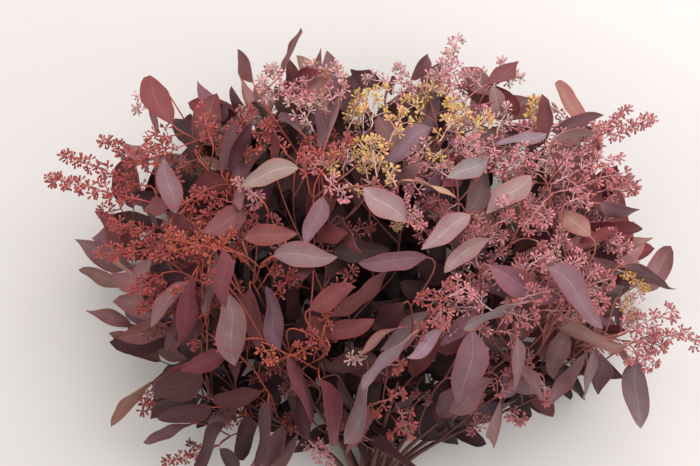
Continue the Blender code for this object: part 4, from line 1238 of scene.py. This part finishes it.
def add_stem(skin, stem, rng):
    """The main stem, with a low ring where a twig leaves it."""
    luck = rng.random()
    cut, way, radius, _ = stem["stops"][0]
    stops = [(cut, way, radius, WOOD_COLOUR), (cut + way * 0.01, way, radius, WOOD_COLOUR)]
    for near_stop, far_stop in zip(stem["stops"], stem["stops"][1:]):
        (start, way, radius, node), (end, next_way, next_radius, _) = near_stop, far_stop
        reach = (end - start).length / 3
        curve = (start, start + way * reach, end - next_way * reach, end)
        for step in range(4):
            t = step / 4
            centre, turn = along(curve, t)
            thick = radius + (next_radius - radius) * t
            swell = 1.12 if step == 0 and node and node["out"] else 1
            bark = blend(BARK_COLOUR, OLD_WOOD_AND_SHADE, min(1, 2 - thick / 1.75))
            stops.append((centre, turn, thick * swell, bark))
    stops[2] = (cut + way * 0.4, *stem["stops"][0][1:3], BARK_COLOUR)
    end, way, radius, _ = stem["stops"][-1]
    stops += [(end - way * 0.6, way, radius, OLD_WOOD_AND_SHADE), (end, way, radius * 0.5, OLD_WOOD_AND_SHADE)]
    add_tube(skin, stops, STEM_ROUND, luck, Vector((1, 0, 0)))


# Young eucalyptus bark: smooth and matt, with fine lengthwise streaks and a few darker spots.
twig_material, tree = new_material("smooth young eucalyptus bark")
tint = add(tree, "Attribute", {"attribute_name": "tint"}).outputs["Color"]
place = add(tree, "Attribute", {"attribute_name": "place"}).outputs["Vector"]
spot = add(tree, "TexCoord").outputs["Object"]
# Streaks of about 4 mm by 1 mm run along the stalk.
streak_map = add(tree, "Mapping", None, {"Vector": place, "Scale": (0.12, 1.4, 40.0)})
streak = add(tree, "TexNoise", None,
             {"Vector": streak_map.outputs[0], "Scale": 2.0, "Detail": 3.0, "Roughness": 0.6})
shade = add(tree, "MapRange", None, {0: streak.outputs[0], 1: 0.3, 2: 0.7, 3: 0.72, 4: 1.2})
# The spots are about a millimetre wide.
speck = add(tree, "TexNoise", None, {"Vector": spot, "Scale": 1100.0, "Detail": 2.0, "Roughness": 0.6})
dark = add(tree, "MapRange", None, {0: speck.outputs[0], 1: 0.62, 2: 0.72, 3: 1.0, 4: 0.7})
both = add(tree, "Math", {"operation": "MULTIPLY"}, {0: shade.outputs[0], 1: dark.outputs[0]})
streaked = add(tree, "Mix", {"data_type": "RGBA", "blend_type": "MULTIPLY"},
               {0: 1.0, 6: tint, 7: both.outputs[0]})
bump = add(tree, "Bump", None, {"Strength": 0.4, "Distance": 0.0003, "Height": streak.outputs[0]})
shader = add(tree, "BsdfPrincipled", None, {
    "Base Color": streaked.outputs[2], "Roughness": 0.55, "Normal": bump.outputs[0], "IOR": 1.45})
add(tree, "OutputMaterial", None, {"Surface": shader.outputs[0]})


# The seed buds stand in little umbels on zigzag side twigs: each is a small club on a thin stalk, with
# a cap that comes off in flower. They took the dye unevenly, from raspberry red to straw. Within the bunch
# they are darkened with painted shade, and the red ones pale to pink towards the lit right side with
# painted haze.
UMBEL_EVERY = 5.0
UMBEL_BUDS = (5, 8)
LEAST_OPEN = 12  # how far the middle bud of an umbel leans out, in degrees
MORE_OPEN = 66  # how much further its outermost bud does
BUD_TURN = 2.4  # from one bud to the next round the umbel, in radians
BUD_SIZES = (0.82, 1.05)
ZIGZAG_TURN = math.pi * 0.76
PAINTED_HAZE = 0.4  # how far the red buds on the right side are paled to pink: painted haze and light
BUD_COLOURS = {
    "red": linear("#9e3d3b"), "rust": linear("#a3452e"), "dark": linear("#74352f"),
    "wine": linear("#983f42"), "pink": linear("#c57d82"), "straw": linear("#cda468"),
    "amber": linear("#d0a850"), "faded": linear("#cb9c97"),
}
TIP_COLOUR = linear("#452419")
LILAC = linear("#c3a2aa")
# The bud's outline: how far along it from the pedicel's foot, its radius, and how it is coloured:
# 0 the pedicel, 1 the club, 2 the cap's tip. The inner buds have a plainer one.
BUD_OUTLINE = ((0.0, 0.28, 0), (2.8, 0.38, 0), (5.2, 1.15, 1), (7.3, 1.5, 1), (8.4, 0.85, 2))
INNER_OUTLINE = ((0.0, 0.32, 0), (3.4, 0.5, 0), (6.8, 1.5, 1), (8.4, 0.8, 2))
BUD_REACH = BUD_OUTLINE[-1][0]


def bud_shape(outline, sides):
    """A bud's outline with its points and its faces."""
    turns = [math.tau * k / sides for k in range(sides)]
    points = np.array([(math.cos(a) * radius, math.sin(a) * radius, reach)
                       for reach, radius, _ in outline for a in turns])
    faces = []
    for near in range(0, (len(outline) - 1) * sides, sides):
        for k in range(sides):
            j = (k + 1) % sides
            faces.append((near + k, near + j, near + sides + j, near + sides + k))
    faces += [tuple(range(sides))[::-1], tuple(range(len(points) - sides, len(points)))]
    return outline, sides, points, faces


OUTER_BUD = bud_shape(BUD_OUTLINE, 5)
INNER_BUD = bud_shape(INNER_OUTLINE, 4)


def add_bud(skin, shape, root, way, size, colour, stalk, rng):
    """One bud on its pedicel."""
    outline, sides, form, faces = shape
    side = way.orthogonal().normalized()
    turn = np.array([side, way.cross(side), way])
    points = (form * size) @ turn + np.array(root)
    colour = tuple(c * rng.uniform(0.8, 1.2) for c in colour)
    kinds = (blend(colour, stalk, 0.5), colour, blend(colour, TIP_COLOUR, rng.uniform(0.65, 1)))
    tints = [kinds[kind] for _, _, kind in outline for _ in range(sides)]
    luck = rng.random()
    places = [(reach, 0.0, luck) for reach, _, _ in outline for _ in range(sides)]
    skin.add(points.tolist(), faces, tints, places)


def add_umbel(skin, shape, root, way, size, colour, stalk, rng):
    """Five to eight buds that spread like a star from one point."""
    count = rng.randint(*UMBEL_BUDS)
    side = way.orthogonal().normalized()
    up = way.cross(side)
    start = rng.uniform(0, math.tau)
    for k in range(count):
        open_by = math.radians(LEAST_OPEN + MORE_OPEN * math.sqrt((k + 0.3) / count))
        angle = start + BUD_TURN * k + rng.uniform(-0.25, 0.25)
        out = side * math.cos(angle) + up * math.sin(angle)
        add_bud(skin, shape, root, (way * math.cos(open_by) + out * math.sin(open_by)).normalized(),
                size * rng.uniform(*BUD_SIZES), colour, stalk, rng)


def add_cluster(skin, shape, cluster, rng):
    """A zigzag axis with an umbel on a short peduncle at each bend, and one at its end."""
    length = (cluster["axis"][3] - cluster["axis"][0]).length
    reach = max(cluster["spread"], LEAST_SPREAD) / 2
    size = 0.86 if reach > 9 else 0.76
    # Painted shade and light: buds within the bunch are darkened, and those outside lightened a little.
    outer = 0.6 + 0.48 * painted_light_share(cluster["axis"][3])
    # Painted haze and light: towards the right side the red buds pale to pink and their stalks to lilac.
    haze_share = ramp(sheet_place(cluster["axis"][3])[0], 400, 480)
    ripe = cluster["shade"] in ("red", "rust", "wine", "dark")
    colour = blend(BUD_COLOURS[cluster["shade"]], BUD_COLOURS["pink"], PAINTED_HAZE * haze_share if ripe else 0)
    colour = tuple(c * outer for c in colour)
    stalk = blend(blend(cluster["stalk"], LILAC, 0.5 * haze_share if ripe else 0.9), colour, 0.32)
    last = max(1 - BUD_REACH * size / length, 0.35)
    count = max(2, round(length * last / UMBEL_EVERY))
    stops = []
    turn = rng.uniform(0, math.tau)
    for k in range(count + 1):
        t = last * (0.12 + 0.88 * k / count)
        centre, way = along(cluster["axis"], t)
        side = square_to(cluster["side"], way)
        turn += ZIGZAG_TURN
        out = side * math.cos(turn) + way.cross(side) * math.sin(turn)
        zigzag = centre - out * 0.7
        stops.append((zigzag, way, 0.62 - 0.2 * t, stalk))
        if k == count:
            add_umbel(skin, shape, zigzag, way, size, colour, stalk, rng)
            break
        arm = max(reach - BUD_REACH * size * 0.8, 1.5) * rng.uniform(0.55, 1.2) * (1.2 - 0.5 * t)
        arm_way = (out * 0.85 + way * 0.5).normalized()
        end = zigzag + arm_way * arm
        add_tube(skin, [(zigzag, arm_way, 0.42, stalk), (end, arm_way, 0.38, stalk)], 5, rng.random())
        add_umbel(skin, shape, end, arm_way, size, colour, stalk, rng)
    foot, way = along(cluster["axis"], 0)
    add_tube(skin, [(foot - way, way, 0.66, stalk), (foot, way, 0.66, stalk), *stops], 6, rng.random())


# Dyed eucalyptus bud: a leathery little cup under a thin bloom, with a faint gloss on its cap.
bud_material, tree = new_material("dyed eucalyptus seed bud")
tint = add(tree, "Attribute", {"attribute_name": "tint"}).outputs["Color"]
spot = add(tree, "TexCoord").outputs["Object"]
# The bloom lies in specks of about 1.5 mm.
mottle = add(tree, "TexNoise", None, {"Vector": spot, "Scale": 700.0, "Detail": 2.0, "Roughness": 0.6})
patch = add(tree, "MapRange", None, {0: mottle.outputs[0], 1: 0.4, 2: 0.75, 3: 0.0, 4: 0.2})
dusted = add(tree, "Mix", {"data_type": "RGBA"}, {0: patch.outputs[0], 6: tint, 7: (*linear("#c9a3a6"), 1)})
bump = add(tree, "Bump", None, {"Strength": 0.3, "Distance": 0.0003, "Height": mottle.outputs[0]})
shader = add(tree, "BsdfPrincipled", None, {
    "Base Color": dusted.outputs[2], "Roughness": 0.5, "Normal": bump.outputs[0], "IOR": 1.45})
add(tree, "OutputMaterial", None, {"Surface": shader.outputs[0]})

for number, stem in enumerate(stems, 1):
    rng = random.Random(100 + number)
    skin = Skin()
    add_stem(skin, stem, rng)
    for items, thick in ((stem["items"], TWIG_THICK), (stem["more"], INNER_TWIG_THICK)):
        for item in items:
            # Stalks on the right side of the bunch get the paler colour: painted haze and light from the
            # right.
            item["stalk"] = STALK_COLOUR if item["twig"][3].x < -20 else HAZED_STALK
            add_twig(skin, item, TWIG_RADIUS * thick, rng)
    skin.piece(f"twigs_{number:02d}", twig_material, number)
    skin = Skin()
    for shape, items in ((OUTER_BUD, stem["items"]), (INNER_BUD, stem["more"])):
        for item in items:
            if item["kind"] == "cluster":
                add_cluster(skin, shape, item, rng)
    skin.piece(f"buds_{number:02d}", bud_material, number)


# A plain tan rubber band holds the stems: cut flat from a tube, matt, with rounded edges and a fine
# grain, and stretched so tight that it runs straight from stem to stem.
ROUNDING = 0.5
band_material, tree = new_material("tan rubber cut from a tube")
spot = add(tree, "TexCoord").outputs["Object"]
# The grain runs round the band in streaks of about 3 mm by 0.6 mm.
grain_map = add(tree, "Mapping", None, {"Vector": spot, "Scale": (300.0, 1600.0, 300.0)})
grain = add(tree, "TexNoise", None,
            {"Vector": grain_map.outputs[0], "Scale": 1.0, "Detail": 3.0, "Roughness": 0.6})
colour = add(tree, "ValToRGB", None, {0: grain.outputs[0]})
for stop, place, tan in zip(colour.color_ramp.elements, (0.3, 0.7), ("#a87b4f", "#c3986a")):
    stop.position = place
    stop.color = (*linear(tan), 1)
bump = add(tree, "Bump", None, {"Strength": 0.4, "Distance": 0.0002, "Height": grain.outputs[0]})
shader = add(tree, "BsdfPrincipled", None, {
    "Base Color": colour.outputs[0], "Roughness": 0.6, "Normal": bump.outputs[0], "IOR": 1.5})
add(tree, "OutputMaterial", None, {"Surface": shader.outputs[0]})
mesh = bpy.data.meshes.new("rubber_band")
mesh.from_pydata([p * MILLIMETRE + SHIFT for p in band_points], [], band_faces)
mesh.materials.append(band_material)
band = put_in_scene("rubber_band", mesh)
bevel = band.modifiers.new("rounded edges", "BEVEL")
bevel.width = ROUNDING * MILLIMETRE
bevel.segments = 3
bevel.limit_method = "ANGLE"
bevel.angle_limit = math.radians(50)
mesh.shade_smooth()
mesh.set_sharp_from_angle(angle=math.radians(50))
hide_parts("band")
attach(band, "root")


# A plain pale floor, a large soft light from the upper right, as from a window, two weaker ones, and
# pale surroundings. The camera looks straight down.
FLOOR_HALF = 20
FLOOR_BELOW = -0.0003
corners = [(x * FLOOR_HALF, y * FLOOR_HALF, FLOOR_BELOW) for x, y in ((-1, -1), (1, -1), (1, 1), (-1, 1))]
floor_mesh = bpy.data.meshes.new("floor")
floor_mesh.from_pydata(corners, [], [(0, 1, 2, 3)])
floor = put_in_scene("floor", floor_mesh)
# Matt paint: pale, and nearly without gloss.
floor_material, tree = new_material("matt warm white paint")
shader = add(tree, "BsdfPrincipled", None, {"Base Color": (*linear("#d4d1cf"), 1), "Roughness": 0.9})
add(tree, "OutputMaterial", None, {"Surface": shader.outputs[0]})
floor_mesh.materials.append(floor_material)

DAYLIGHT = linear("#fffbf9")
LIT_POINT = Vector((0, 0, 0.15))
world = bpy.data.worlds.new("pale surroundings")
world.use_nodes = True
bpy.context.scene.world = world
world.node_tree.nodes["Background"].inputs["Color"].default_value = (*DAYLIGHT, 1)
world.node_tree.nodes["Background"].inputs["Strength"].default_value = 0.54

for name, place, size, energy in (
    ("window", (0.45, 1.4, 1.8), 1.9, 53),
    ("left side", (-1.4, -0.1, 1.8), 1.6, 12),
    ("right side", (1.5, -0.5, 1.1), 1.2, 11),
):
    lamp = bpy.data.lights.new(name, "AREA")
    lamp.shape = "SQUARE"
    lamp.size = size
    lamp.energy = energy
    lamp.color = DAYLIGHT
    light = put_in_scene(name, lamp)
    light.location = Vector(place)
    light.rotation_euler = (LIT_POINT - light.location).to_track_quat("-Z", "Y").to_euler()

SENSOR = 36
eye = bpy.data.cameras.new("from above")
eye.sensor_width = SENSOR
eye.lens = SENSOR * (EYE_HEIGHT - SHEET_HEIGHT) / SHEET_ACROSS
eye.clip_start = 0.05
camera = put_in_scene("from above", eye)
camera.location = SHIFT + Vector((0, 0, EYE_HEIGHT)) * MILLIMETRE
bpy.context.scene.camera = camera
bpy.context.scene.view_settings.view_transform = "Standard"
